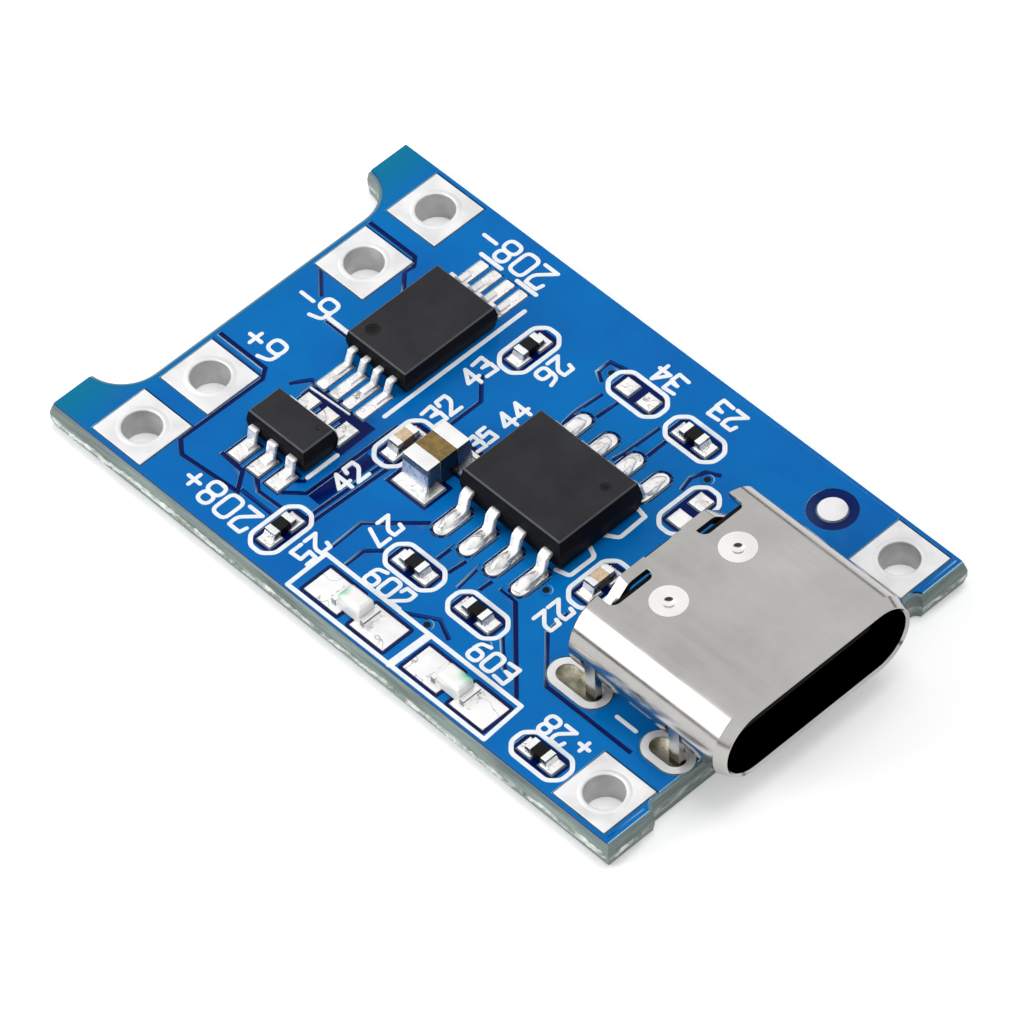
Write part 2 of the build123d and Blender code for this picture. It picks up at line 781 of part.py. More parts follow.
# Drawn steel shell of the charging socket
with BuildPart() as socket_shell:
    with BuildSketch(Plane.YZ.offset(shell_rear)) as shell_outside:
        with Locations((0, socket_middle)):
            SlotOverall(shell_width, shell_height)
    extrude(amount=shell_length)
    rear_face = socket_shell.faces().sort_by(Axis.X)[0]
    chamfer(rear_face.edges(), shell_edge_bevel)
    mouth_face = socket_shell.faces().sort_by(Axis.X)[-1]
    chamfer(mouth_face.edges(), mouth_bevel_drop, mouth_bevel_length, reference=mouth_face)
    with BuildSketch(Plane.YZ.offset(shell_rear)) as shell_inside:
        with Locations((0, socket_middle)):
            SlotOverall(shell_width - 2 * shell_wall, shell_height - 2 * shell_wall)
    extrude(amount=shell_length, mode=Mode.SUBTRACT)
    mouth_face = socket_shell.faces().sort_by(Axis.X)[-1]
    chamfer(mouth_face.inner_wires()[0].edges(), mouth_lead_in)
    # Rear cut-outs in the top, one each side of the middle plate
    with BuildSketch(Plane.XY.offset(socket_middle)) as rear_notches:
        with Locations(
            (shell_rear, notch_inner_y + notch_width / 2),
            (shell_rear, -notch_inner_y - notch_width / 2),
        ):
            RectangleRounded(2 * notch_depth, notch_width, notch_corner)
    extrude(amount=shell_height, mode=Mode.SUBTRACT)
    # Opening under the rear where the contact tails come out
    with BuildSketch(Plane.XY.offset(shell_floor)) as tail_opening:
        with Locations((shell_rear, 0)):
            Rectangle(2 * tail_opening_depth, tail_opening_width)
    extrude(amount=shell_height / 2, mode=Mode.SUBTRACT)
    # Windows left in the sides where the legs were folded out, then the legs themselves
    leg_points = [
        (x, side * leg_spread / 2) for x in (rear_leg_x, front_leg_x) for side in (-1, 1)
    ]
    with BuildSketch(Plane.XY.offset(shell_floor)) as leg_windows:
        with Locations(*leg_points):
            Rectangle(leg_width + 2 * leg_relief, 2 * shell_wall + 2 * leg_relief)
    extrude(amount=shell_height / 2, mode=Mode.SUBTRACT)
    with BuildSketch(Plane.XY.offset(leg_end)) as legs:
        with Locations(*leg_points):
            Rectangle(leg_width, shell_wall)
    extrude(amount=socket_middle - leg_end)
    # Wings folded down from the middle plate, behind the housing
    with BuildSketch(Plane.YZ.offset(shell_rear)) as wings:
        with BuildLine() as wing_path:
            FilletPolyline(
                (notch_inner_y - shell_wall, shell_top - shell_wall / 2),
                (notch_inner_y + wing_reach / 2, shell_top - shell_wall / 2),
                (notch_inner_y + wing_reach, shell_top - shell_wall / 2 - wing_drop),
                radius=shell_wall,
            )
        trace(line_width=shell_wall)
        mirror(about=Plane.YZ)
    extrude(amount=wing_length)
    # Round dimples stamped down into the top, which stand out on its inside
    for level, mode in ((shell_ceiling, Mode.ADD), (shell_top, Mode.SUBTRACT)):
        with BuildSketch(Plane.XY.offset(level)) as dimples:
            with Locations(*dimple_points):
                Circle(dimple_diameter / 2)
        extrude(amount=-dimple_sink, taper=dimple_taper, mode=mode)
keep(socket_shell, "socket_shell")

# Moulded housing at the back of the socket, with the tongue that carries the contacts
tongue_end = shell_rear + shell_length - tongue_setback
housing_front = housing_rear + housing_length
contact_middle = tongue_end - contact_setback - contact_length / 2
with BuildPart() as socket_tongue:
    with BuildSketch(Plane.YZ.offset(housing_rear)) as housing_section:
        with Locations((0, socket_middle)):
            SlotOverall(
                shell_width - 2 * shell_wall - 2 * housing_clearance,
                shell_height - 2 * shell_wall - 2 * housing_clearance,
            )
    extrude(amount=housing_length)
    with BuildSketch(Plane.YZ.offset(housing_front)) as root_section:
        with Locations((0, socket_middle)):
            Rectangle(tongue_width, tongue_root_thickness)
    extrude(amount=tongue_root_length)
    with BuildSketch(Plane.YZ.offset(housing_front)) as tongue_section:
        with Locations((0, socket_middle)):
            Rectangle(tongue_width, tongue_thickness)
    extrude(amount=tongue_end - housing_front)
    tongue_tip = socket_tongue.faces().sort_by(Axis.X)[-1]
    chamfer(tongue_tip.edges(), tongue_tip_bevel)
    # Slot for the steel edge plate inside the tongue
    with BuildSketch(Plane.YZ.offset(housing_front)) as plate_slot:
        with Locations((0, socket_middle)):
            Rectangle(tongue_width, edge_plate_thickness)
    extrude(amount=tongue_end - edge_plate_lip - housing_front, mode=Mode.SUBTRACT)
    # Shallow channels that hold the contacts
    for rows, side in ((upper_contact_rows, 1), (lower_contact_rows, -1)):
        face = socket_middle + side * (tongue_thickness / 2 - contact_sink)
        with BuildSketch(Plane.XY.offset(face)) as channels:
            with Locations(*[(contact_middle, across) for across in rows]):
                Rectangle(contact_length, contact_width)
        extrude(amount=side * tongue_thickness, mode=Mode.SUBTRACT)
keep(socket_tongue, "socket_tongue")

# Steel plate between the two contact rows, which shows along both edges of the tongue
with BuildPart() as tongue_edge_plate:
    with BuildSketch(Plane.YZ.offset(housing_front)) as plate_section:
        with Locations((0, socket_middle)):
            Rectangle(tongue_width, edge_plate_thickness)
    extrude(amount=tongue_end - edge_plate_lip - housing_front)
keep(tongue_edge_plate, "tongue_edge_plate")

# Contacts on both faces of the tongue
for name, rows, side in (
    ("upper_contacts", upper_contact_rows, 1),
    ("lower_contacts", lower_contact_rows, -1),
):
    face = socket_middle + side * (tongue_thickness / 2 - contact_sink)
    with BuildPart() as contacts:
        with BuildSketch(Plane.XY.offset(face)) as strips:
            with Locations(*[(contact_middle, across) for across in rows]):
                Rectangle(contact_length, contact_width)
        extrude(amount=side * contact_thickness)
    keep(contacts, name)

# Contact tails that run down the back of the housing and out onto their lands
with BuildPart() as contact_tails:
    for across in tail_rows:
        side_view = Plane(origin=(0, across, 0), x_dir=(1, 0, 0), z_dir=(0, -1, 0))
        with BuildSketch(side_view) as tail_section:
            with BuildLine() as tail_path:
                Polyline(
                    (shell_rear - tail_reach, land_top + tail_thickness / 2),
                    (housing_rear - tail_thickness / 2, land_top + tail_thickness / 2),
                    (housing_rear - tail_thickness / 2, land_top + tail_riser),
                )
            trace(line_width=tail_thickness)
        extrude(amount=tail_width / 2, both=True)
keep(contact_tails, "contact_tails")

# Solder that holds each leg between the long walls of its slot
solder_points = [
    (shell_rear + setback, side * leg_spread / 2)
    for setback in (rear_solder_setback, front_slot_setback) for side in (-1, 1)
]
with BuildPart() as leg_solder:
    with BuildSketch(Plane.XY.offset(leg_end)) as slot_fill:
        with Locations(*solder_points):
            Rectangle(leg_solder_length, slot_width)
        with Locations(*leg_points):
            Rectangle(leg_width, shell_wall, mode=Mode.SUBTRACT)
    extrude(amount=leg_solder_height - leg_end)
keep(leg_solder, "leg_solder")


def end_fillets(place, length, width, height, reach):
    """Concave solder fillets from both ends of a part down to its lands."""
    station, across, turned = place
    normal = (1, 0, 0) if turned else (0, -1, 0)
    direction = (0, 1, 0) if turned else (1, 0, 0)
    side_view = Plane(origin=(along(station), across, land_top), x_dir=direction, z_dir=normal)
    rise = height * fillet_share
    with BuildSketch(side_view) as section:
        with BuildLine():
            Polyline(
                (length / 2, rise),
                (length / 2, 0),
                (length / 2 + reach, 0),
                (length / 2 + reach * 0.35, rise * 0.3),
                close=True,
            )
        make_face()
        mirror(about=Plane.YZ)
    extrude(section.sketch, amount=width / 2, both=True)


# Solder at the ends of the chip parts and the lamps
with BuildPart() as end_solder:
    for place in resistor_places.values():
        end_fillets(place, chip_length, chip_width, resistor_height, fillet_reach)
    for place in capacitor_places.values():
        end_fillets(place, chip_length, chip_width, small_capacitor_height, fillet_reach)
    end_fillets(
        (*tall_capacitor_place, True), tall_length, tall_width, tall_height, fillet_reach
    )
    for station, across in lamp_places.values():
        end_fillets(
            (station, across, False), lamp_length, lamp_width, lamp_base_height, lamp_fillet_reach
        )
keep(end_solder, "end_solder")
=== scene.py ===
import json
import math
import random

import bmesh
import bpy
from mathutils import Matrix, Vector


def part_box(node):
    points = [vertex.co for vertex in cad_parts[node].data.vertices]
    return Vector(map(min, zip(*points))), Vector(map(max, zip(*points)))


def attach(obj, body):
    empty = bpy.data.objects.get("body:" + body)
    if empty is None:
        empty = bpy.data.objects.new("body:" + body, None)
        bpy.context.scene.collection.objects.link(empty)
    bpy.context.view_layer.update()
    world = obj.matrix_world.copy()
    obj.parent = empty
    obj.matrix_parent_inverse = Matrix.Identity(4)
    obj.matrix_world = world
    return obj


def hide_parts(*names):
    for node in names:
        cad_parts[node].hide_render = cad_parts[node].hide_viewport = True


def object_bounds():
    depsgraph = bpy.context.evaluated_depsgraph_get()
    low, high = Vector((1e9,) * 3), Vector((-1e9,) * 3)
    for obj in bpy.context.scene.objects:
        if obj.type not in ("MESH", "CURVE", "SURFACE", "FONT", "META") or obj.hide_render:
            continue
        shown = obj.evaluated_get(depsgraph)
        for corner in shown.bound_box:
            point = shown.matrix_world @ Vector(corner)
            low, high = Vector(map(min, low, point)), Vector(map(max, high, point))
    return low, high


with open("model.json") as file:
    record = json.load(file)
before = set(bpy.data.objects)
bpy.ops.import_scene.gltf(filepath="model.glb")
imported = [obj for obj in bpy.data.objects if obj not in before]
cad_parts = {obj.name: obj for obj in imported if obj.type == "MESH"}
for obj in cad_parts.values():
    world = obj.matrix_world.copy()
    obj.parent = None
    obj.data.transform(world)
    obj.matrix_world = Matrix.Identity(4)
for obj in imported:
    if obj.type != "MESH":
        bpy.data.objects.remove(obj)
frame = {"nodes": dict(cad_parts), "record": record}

# Lithium battery charger module: finishes, solder, printed ink, light and camera for the
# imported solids. Lengths below are millimetres on the board unless they say otherwise, with
# X and Y from the board's centre, and become metres through MM.
MM = 0.001
cad_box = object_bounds()
nodes = frame["nodes"]
board_low, board_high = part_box("circuit_board")
shell_low, shell_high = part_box("socket_shell")
core_top = board_high[2]
foil_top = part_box("solder_mask_top")[1][2]
bare_top = (core_top + foil_top) / 2
land_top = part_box("charger_chip_lands")[1][2]
board_half_length = board_high[0]
board_half_width = board_high[1]

# Board outline: recesses between the end tabs, and the bare strip of mask along it
battery_recess = 1.6
socket_recess = 0.32
tab_width = 1.5
bare_strip = 0.32

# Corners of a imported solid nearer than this, in metres, are one; and the share of half a
# width that a round end may take
weld_distance = 1e-7
nearly_all = 0.999

# Printed ink
ink_height = 0.014 * MM
ink_lift = 0.0012 * MM
outline_width = 0.17
fine_width = 0.07
divider_width = 0.3
number_width = 0.15
digit_pitch = 0.84
digit_inset = 0.15
digit_corner = 0.24
frame_length = 2.38
frame_width = 1.24
frame_cut = 0.36
# Centre of each frame round a chip part, and whether the part lies across the board
part_frames = (
    (0.6, -4.72, False), (3.63, -4.68, False), (-3.86, -6.77, True), (-3.6, 4.72, True),
    (3.37, 5.87, False), (9.5, -7.37, False), (0.52, 5.93, False), (5.48, 3.5, True),
    (-3.64, -1.2, True), (5.6, -0.9, True),
)
lamp_divider = ((3.1, -6.45), (3.05, -8.2))
printed_lines = (
    ((-1.95, -8.25), (-1.98, -6.42), (7.5, -6.38), (7.62, -8.22)),
    ((-1.95, -8.25), (7.62, -8.22)),
    ((-5.0, -0.84), (-5.0, 5.85)),
    ((-9.8, 0.9), (-8.64, 0.9)),
    ((-8.0, 6.65), (-7.0, 6.65)),
    ((-6.2, 6.65), (-5.26, 6.65)),
    ((-4.9, -4.55), (-4.9, -3.17)),
    ((-7.79, -1.71), (-5.96, -1.61)),
    ((4.12, 2.35), (4.6, 2.26), (4.65, 1.02), (4.15, 0.71)),
    ((4.12, 0.07), (4.64, -0.16), (4.63, -1.33), (4.1, -1.47)),
)
fine_line = 7
# Text, centre, height and reading direction in degrees
printed_texts = (
    ("208+", -6.3, -7.32, 1.02, 180), ("6+", -10.35, -1.5, 1.02, 180),
    ("6-", -10.45, 1.05, 1.02, 180), ("208-", -6.95, 7.34, 1.02, 180),
    ("43", -4.15, 2.75, 0.8, 90), ("26", -2.3, 4.67, 0.8, 270),
    ("32", -3.8, 0.67, 0.8, 90), ("35", -1.86, 0.74, 0.64, 90),
    ("44", -1.84, 2.25, 0.76, 90), ("42", -3.9, -3.6, 0.8, 90),
    ("25", -2.5, -6.62, 0.8, 270), ("27", -1.31, -4.34, 0.8, 270),
    ("602", 0.6, -5.95, 0.8, 0), ("603", 5.45, -5.75, 0.8, 0),
    ("22", 5.49, -2.86, 0.8, 270), ("28", 9.1, -6.3, 0.8, 180),
    ("34", 0.85, 7.16, 0.8, 180), ("23", 3.45, 7.4, 0.8, 180),
    ("+", 10.22, -6.12, 0.8, 0), ("-", 10.5, -4.46, 1.5, 0),
)
# Strokes of each sign in a box 0.6 wide and 1 high, and whether each stroke closes
digit_strokes = {
    "0": [([(0, 0), (0.6, 0), (0.6, 1), (0, 1)], True)],
    "2": [([(0, 0.72), (0.06, 1), (0.56, 1), (0.6, 0.62), (0, 0), (0.62, 0)], False)],
    "3": [([(0, 0.95), (0.58, 1), (0.58, 0.56), (0.2, 0.54)], False),
          ([(0.3, 0.53), (0.62, 0.45), (0.6, 0), (0, 0.04)], False)],
    "4": [([(0.46, 0), (0.46, 1), (0, 0.32), (0.64, 0.32)], False)],
    "5": [([(0.58, 1), (0.06, 1), (0.02, 0.56), (0.56, 0.6), (0.6, 0.02), (0, 0.02)], False)],
    "6": [([(0.52, 1), (0.04, 0.86), (0.0, 0.5)], False),
          ([(0, 0), (0.6, 0), (0.6, 0.54), (0, 0.54)], True)],
    "7": [([(0, 1), (0.6, 1), (0.22, 0)], False)],
    "8": [([(0, 0), (0.6, 0), (0.6, 0.5), (0, 0.5)], True),
          ([(0.05, 0.52), (0.55, 0.52), (0.55, 1), (0.05, 1)], True)],
    "+": [([(0.02, 0.5), (0.58, 0.5)], False), ([(0.3, 0.22), (0.3, 0.78)], False)],
    "-": [([(0.0, 0.5), (0.6, 0.5)], False)],
}

# Small plated holes that the mask has sunk into, with each rim's radius and height over the foil
small_hole_places = ((4.49, -2.32), (2.71, -6.17), (4.73, -5.41), (-0.81, 5.99), (4.95, 4.9))
small_hole_rim = ((0.27, -0.02), (0.25, 0.002), (0.19, 0.014), (0.15, 0.01), (0.12, 0.002))
# Radius of the dark disc of painted shade in each hole
shadow_disc_radius = 0.13

# Solder ring round each wire hole: radius, then height over the pad
wire_rim = ((0.735, 0.0), (0.75, 0.02), (0.79, 0.032), (0.85, 0.026), (0.91, 0.008), (0.93, 0.0))

# Torn fibre: share of the ridge's half width, then share of its reach
web_section = ((-1.0, -0.04), (-0.45, 0.3), (0.1, 1.0), (0.6, 0.4), (1.0, -0.04))

# Pin-one marks: chip, place and radius, and the rim left round the hollow
chip_mark_places = (
    ("charger_chip_body", 3.645, 1.39, 0.21),
    ("switch_chip_body", -7.465, 1.0, 0.275),
    ("guard_chip_body", -5.485, -3.42, 0.1),
)
chip_mark_rim = 0.012

# Socket: half the flat width of its top, its two dimples and the rim of its leg eyelets
shell_flat_half = 2.88 * MM
dimple_setback = 1.96
dimple_half_spacing = 1.62
dimple_radius = 0.675
eyelet_rim = 0.27

# Painted green glints under the lamps' lenses, and their height over the lands
lens_glints = ((-0.08, -7.5), (5.7, -7.0))
glint_height = 0.68
glint_radius = 0.52

# Camera, read from the photograph's perspective
view_azimuth = 48.624
view_elevation = 50.146
view_roll = -3.373
view_distance = 278.77
view_aim = (1.203, -0.741, 1.2)
view_lens = 288.32
view_sensor = 36.0


# Shader node helpers

def new_material(name):
    material = bpy.data.materials.new(name)
    material.use_nodes = True
    material.node_tree.nodes.clear()
    return material


def new_group(name, **inputs):
    """A node group with these inputs: its tree and what it is given."""
    group = bpy.data.node_groups.new(name, "ShaderNodeTree")
    for label, default in inputs.items():
        kind = "NodeSocketVector" if isinstance(default, tuple) else "NodeSocketFloat"
        group.interface.new_socket(label, in_out="INPUT", socket_type=kind).default_value = default
    return group, group.nodes.new("NodeGroupInput").outputs


def give(tree, socket, value):
    """Link an input to another socket, or set its value; a colour gets an alpha of 1."""
    if isinstance(value, bpy.types.NodeSocket):
        tree.links.new(value, socket)
    elif socket.type == "RGBA":
        socket.default_value = (*value, 1.0)
    else:
        socket.default_value = value


def add_node(tree, kind, *ordered, setting=None, **named):
    """A shader node; inputs are given in order or by name, and setting is (property, value)."""
    node = tree.nodes.new("ShaderNode" + kind)
    if setting is not None:
        setattr(node, *setting)
    for socket, value in zip(node.inputs, ordered):
        give(tree, socket, value)
    for key, value in named.items():
        give(tree, node.inputs[key.replace("_", " ")], value)
    return node


def mask_of(tree, group, **values):
    return add_node(tree, "Group", setting=("node_tree", group), **values).outputs["Mask"]


def put_out(group, **results):
    """End a group with an output for each result."""
    for label in results:
        group.interface.new_socket(label, in_out="OUTPUT", socket_type="NodeSocketFloat")
    end = group.nodes.new("NodeGroupOutput")
    for label, value in results.items():
        group.links.new(value, end.inputs[label])
    return group


def arithmetic(tree, operation, *values):
    return add_node(tree, "Math", *values, setting=("operation", operation)).outputs["Value"]


def object_place(tree):
    return add_node(tree, "TexCoord").outputs["Object"]


def make_mottling():
    """Soft cloudy variation in object space: a mask from 0 to 1, and the bare noise as height."""
    group, given = new_group(
        "soft_mottling", Scale=400.0, Detail=4.0, Low=0.35, High=0.65, Stretch=(1.0, 1.0, 1.0))
    stretched = add_node(
        group, "VectorMath", object_place(group), given["Stretch"],
        setting=("operation", "MULTIPLY"))
    noise = add_node(
        group, "TexNoise", Vector=stretched.outputs["Vector"], Scale=given["Scale"],
        Detail=given["Detail"], Roughness=0.6).outputs["Fac"]
    cloud = add_node(group, "MapRange", Value=noise, From_Min=given["Low"], From_Max=given["High"])
    return put_out(group, Mask=cloud.outputs["Result"], Height=noise)


def make_band():
    """A mask that rises from 0 to 1 between two places along an axis of object space."""
    group, given = new_group("place_band", Axis=(0.0, 0.0, 1.0), Start=0.0, End=1.0)
    along = add_node(
        group, "VectorMath", object_place(group), given["Axis"],
        setting=("operation", "DOT_PRODUCT"))
    rise = add_node(
        group, "MapRange", setting=("interpolation_type", "SMOOTHSTEP"),
        Value=along.outputs["Value"], From_Min=given["Start"], From_Max=given["End"])
    return put_out(group, Mask=rise.outputs["Result"])


def make_facing():
    """A mask of faces that look along a direction: 0 across it, 1 along it."""
    group, given = new_group("facing", Direction=(0.0, 0.0, 1.0), Start=0.5, End=0.95)
    along = add_node(
        group, "VectorMath", add_node(group, "NewGeometry").outputs["Normal"],
        given["Direction"], setting=("operation", "DOT_PRODUCT"))
    rise = add_node(
        group, "MapRange", Value=along.outputs["Value"],
        From_Min=given["Start"], From_Max=given["End"])
    return put_out(group, Mask=rise.outputs["Result"])


def make_round_spot():
    """A mask round one point of object space: 1 at the point, 0 beyond the radius."""
    group, given = new_group("round_spot", Point=(0.0, 0.0, 0.0), Radius=0.001)
    reach = add_node(
        group, "VectorMath", object_place(group), given["Point"],
        setting=("operation", "DISTANCE"))
    fade = add_node(
        group, "MapRange", setting=("interpolation_type", "SMOOTHSTEP"),
        Value=reach.outputs["Value"], From_Max=given["Radius"], To_Min=1.0, To_Max=0.0)
    return put_out(group, Mask=fade.outputs["Result"])


def make_thin_veins():
    """Thin wandering lines in object space, where a noise crosses its middle value."""
    group, given = new_group("thin_veins", Scale=900.0, Width=0.02)
    noise = add_node(
        group, "TexNoise", Vector=object_place(group), Scale=given["Scale"], Detail=3.0)
    offset = arithmetic(group, "SUBTRACT", noise.outputs["Fac"], 0.5)
    fade = add_node(
        group, "MapRange", Value=arithmetic(group, "ABSOLUTE", offset),
        From_Max=given["Width"], To_Min=1.0, To_Max=0.0)
    return put_out(group, Mask=fade.outputs["Result"])


def make_shell_inside():
    """A mask for the painted shadow on the socket shell's inner wall: 1 inside, 0 outside."""
    group, _ = new_group("shell_inside")
    radius = shell_high[1] - shell_flat_half
    middle = shell_high[2] - radius
    wall, rear, rim = 0.2 * MM, 1.6 * MM, 0.12 * MM
    x, y, z = add_node(group, "SeparateXYZ", object_place(group)).outputs
    sideways = arithmetic(group, "SUBTRACT", arithmetic(group, "ABSOLUTE", y), shell_flat_half)
    beyond = arithmetic(group, "MAXIMUM", sideways, 0.0)
    above = arithmetic(group, "SUBTRACT", z, middle)
    from_core = arithmetic(group, "SQRT", arithmetic(
        group, "ADD", arithmetic(group, "MULTIPLY", beyond, beyond),
        arithmetic(group, "MULTIPLY", above, above)))
    inner = arithmetic(group, "LESS_THAN", from_core, radius - wall)
    ahead = arithmetic(group, "GREATER_THAN", x, shell_low[0] + rear)
    before_rim = arithmetic(group, "LESS_THAN", x, shell_high[0] - rim)
    return put_out(group, Mask=arithmetic(
        group, "MULTIPLY", arithmetic(group, "MULTIPLY", inner, ahead), before_rim))


mottling = make_mottling()
band = make_band()
facing = make_facing()
round_spot = make_round_spot()
thin_veins = make_thin_veins()
shell_inside = make_shell_inside()


def mixed(tree, factor, first, second):
    """Colour mix of two colours or sockets by a mask."""
    mix = add_node(tree, "Mix", setting=("data_type", "RGBA"), Factor=factor, A=first, B=second)
    return mix.outputs["Result"]


def spread(tree, mask, low, high):
    """Map a 0 to 1 mask onto a range of values."""
    return add_node(tree, "MapRange", Value=mask, To_Min=low, To_Max=high).outputs["Result"]


def add_cloud(tree, **values):
    """Outputs of the mottling: its mask and its height."""
    return add_node(tree, "Group", setting=("node_tree", mottling), **values).outputs


def cloudy(tree, low, high, **values):
    """Clouded colour, with the cloud's mask and height."""
    cloud = add_cloud(tree, **values)
    return mixed(tree, cloud["Mask"], low, high), cloud["Mask"], cloud["Height"]


def finish_surface(material, colour, roughness, height, bump, relief, **constants):
    """Principled surface with its colour, roughness and bump; relief in millimetres."""
    tree = material.node_tree
    bumped = add_node(tree, "Bump", Strength=bump, Distance=relief * MM, Height=height)
    shader = add_node(
        tree, "BsdfPrincipled", Base_Color=colour, Roughness=roughness,
        Normal=bumped.outputs["Normal"], **constants)
    add_node(tree, "OutputMaterial", Surface=shader.outputs["BSDF"])
    return material


# Materials

def blue_mask_material():
    """Glossy solder mask: navy where it lies on bare board, bright blue over copper foil, with a
    painted glint on the foil's shoulders that face +X and +Y and painted shade on its other
    shoulders.
    """
    material = new_material("blue_mask")
    tree = material.node_tree
    pour, mask, _ = cloudy(
        tree, (0.0, 0.122, 0.44), (0.0, 0.165, 0.5), Scale=260.0, Detail=3.0, Low=0.3, High=0.7)
    tab = mask_of(
        tree, band, Axis=(-1, 0, 0), Start=board_half_length - 2.6 * MM, End=board_half_length)
    teal = mixed(tree, tab, pour, (0.0, 0.18, 0.33))
    raised = mask_of(
        tree, band, Axis=(0, 0, 1), Start=bare_top + 0.004 * MM, End=foil_top - 0.008 * MM)
    film = mixed(tree, raised, (0.0, 0.006, 0.085), teal)
    # Painted glint: pale on the foil's shoulders that face +X and +Y; painted shade, dark navy, on
    # the other shoulders
    lit = mask_of(tree, facing, Direction=(0.6, 0.8, 0.0), Start=0.1, End=0.45)
    shoulder_glint = mixed(tree, lit, (0.0, 0.05, 0.24), (0.5, 0.76, 0.9))
    flat = mask_of(tree, facing, Start=0.9, End=0.99)
    colour = mixed(tree, flat, shoulder_glint, film)
    fine = add_cloud(tree, Scale=1400.0, Detail=2.0)
    return finish_surface(
        material, colour, spread(tree, mask, 0.2, 0.32), fine["Height"], 0.12, 0.01,
        Specular_IOR_Level=0.1)


def bare_mask_material():
    """Navy mask over bare board."""
    material = new_material("bare_mask")
    colour, _, height = cloudy(
        material.node_tree, (0.0, 0.005, 0.05), (0.0, 0.012, 0.12), Scale=900.0, Detail=3.0)
    return finish_surface(material, colour, 0.25, height, 0.2, 0.01, Specular_IOR_Level=0.15)


def glass_fibre_material():
    """Board edge: woven glass in pale resin, with a broken light web along its middle."""
    material = new_material("glass_fibre")
    tree = material.node_tree
    middle = (board_low[2] + board_high[2]) / 2
    lower = mask_of(
        tree, band, Axis=(0, 0, 1), Start=middle - 0.34 * MM, End=middle - 0.24 * MM)
    upper = mask_of(
        tree, band, Axis=(0, 0, -1), Start=-middle - 0.06 * MM, End=-middle + 0.06 * MM)
    web = arithmetic(tree, "MULTIPLY", lower, upper)
    bevel, streaks, _ = cloudy(
        tree, (0.1, 0.135, 0.125), (0.28, 0.35, 0.33),
        Scale=900.0, Detail=6.0, Low=0.35, High=0.65, Stretch=(0.35, 0.35, 4.0))
    torn, _, height = cloudy(
        tree, (0.16, 0.2, 0.19), (0.5, 0.57, 0.54),
        Scale=2600.0, Detail=4.0, Low=0.4, High=0.62, Stretch=(0.6, 0.6, 1.6))
    top_face = mask_of(
        tree, band, Axis=(0, 0, 1), Start=core_top - 0.05 * MM, End=core_top - 0.01 * MM)
    edge = mixed(tree, web, bevel, torn)
    colour = mixed(tree, top_face, edge, (0.16, 0.24, 0.27))
    return finish_surface(material, colour, spread(tree, streaks, 0.45, 0.75), height, 0.6, 0.06)


def torn_fibre_material():
    """Ends of the glass bundles along a snapped edge."""
    material = new_material("torn_fibre")
    tree = material.node_tree
    colour, tufts, height = cloudy(
        tree, (0.2, 0.24, 0.2), (0.8, 0.83, 0.78),
        Scale=1500.0, Detail=5.0, Low=0.4, High=0.6, Stretch=(0.7, 0.7, 2.0))
    return finish_surface(material, colour, spread(tree, tufts, 0.4, 0.7), height, 0.5, 0.05)


def tin_material(name, low, high, metallic, rough, scale=900.0, bump=0.15):
    """Plated lead or contact: pale metal with a slightly wavy, clouded surface."""
    material = new_material(name)
    tree = material.node_tree
    colour, _, height = cloudy(tree, low, high, Scale=scale, Detail=2.0, Low=0.35, High=0.6)
    fine = add_cloud(tree, Scale=scale * 4, Detail=2.0)
    roughness = spread(tree, fine["Mask"], *rough)
    return finish_surface(material, colour, roughness, height, bump, 0.03, Metallic=metallic)


def plated_material(name, top, shaded_flank, metallic, rough, scale, bump):
    """Plated metal with painted light and shade: bright on top, darker where its sides turn down.
    """
    material = new_material(name)
    tree = material.node_tree
    bright, mask, height = cloudy(tree, *top, Scale=scale, Detail=2.0, Low=0.35, High=0.6)
    lit_top = mask_of(tree, facing, Start=0.3, End=0.85)
    # Painted light on the top and painted shade on the sides that turn down
    colour = mixed(tree, lit_top, mixed(tree, mask, *shaded_flank), bright)
    roughness = spread(tree, mask, *rough)
    return finish_surface(material, colour, roughness, height, bump, 0.03, Metallic=metallic)


def painted_highlight_steel_material():
    """Steel for the socket's dimples, painted far brighter than the shell's steel as a highlight,
    with painted shade on the far wall of its deepest part.
    """
    material = new_material("painted_highlight_steel")
    tree = material.node_tree
    bright, mask, height = cloudy(
        tree, (0.84, 0.83, 0.8), (0.94, 0.93, 0.91), Scale=500.0, Detail=2.0, Low=0.35, High=0.6)
    # Painted shade on the far wall of the dimple's deepest part
    wall = mask_of(tree, facing, Direction=(0.707, -0.707, 0.0), Start=0.28, End=0.4)
    colour = mixed(tree, wall, bright, (0.06, 0.05, 0.04))
    return finish_surface(
        material, colour, spread(tree, mask, 0.2, 0.28), height, 0.06, 0.03, Metallic=1.0)


def veined_solder_material(name, low, high, vein, scale, width, metallic, rough, bump):
    """Solder that froze with a satin skin and thin dark veins; grey between them where its bump
    sinks, as painted shade in the hollows.
    """
    material = new_material(name)
    tree = material.node_tree
    # Painted shade: the low colour falls where the bump's height is low
    skin, mask, height = cloudy(tree, low, high, Scale=scale, Detail=3.0, Low=0.32, High=0.52)
    veins = mask_of(tree, thin_veins, Scale=scale * 0.8, Width=width)
    colour = mixed(tree, veins, skin, vein)
    roughness = spread(tree, mask, *rough)
    return finish_surface(material, colour, roughness, height, bump, 0.04, Metallic=metallic)


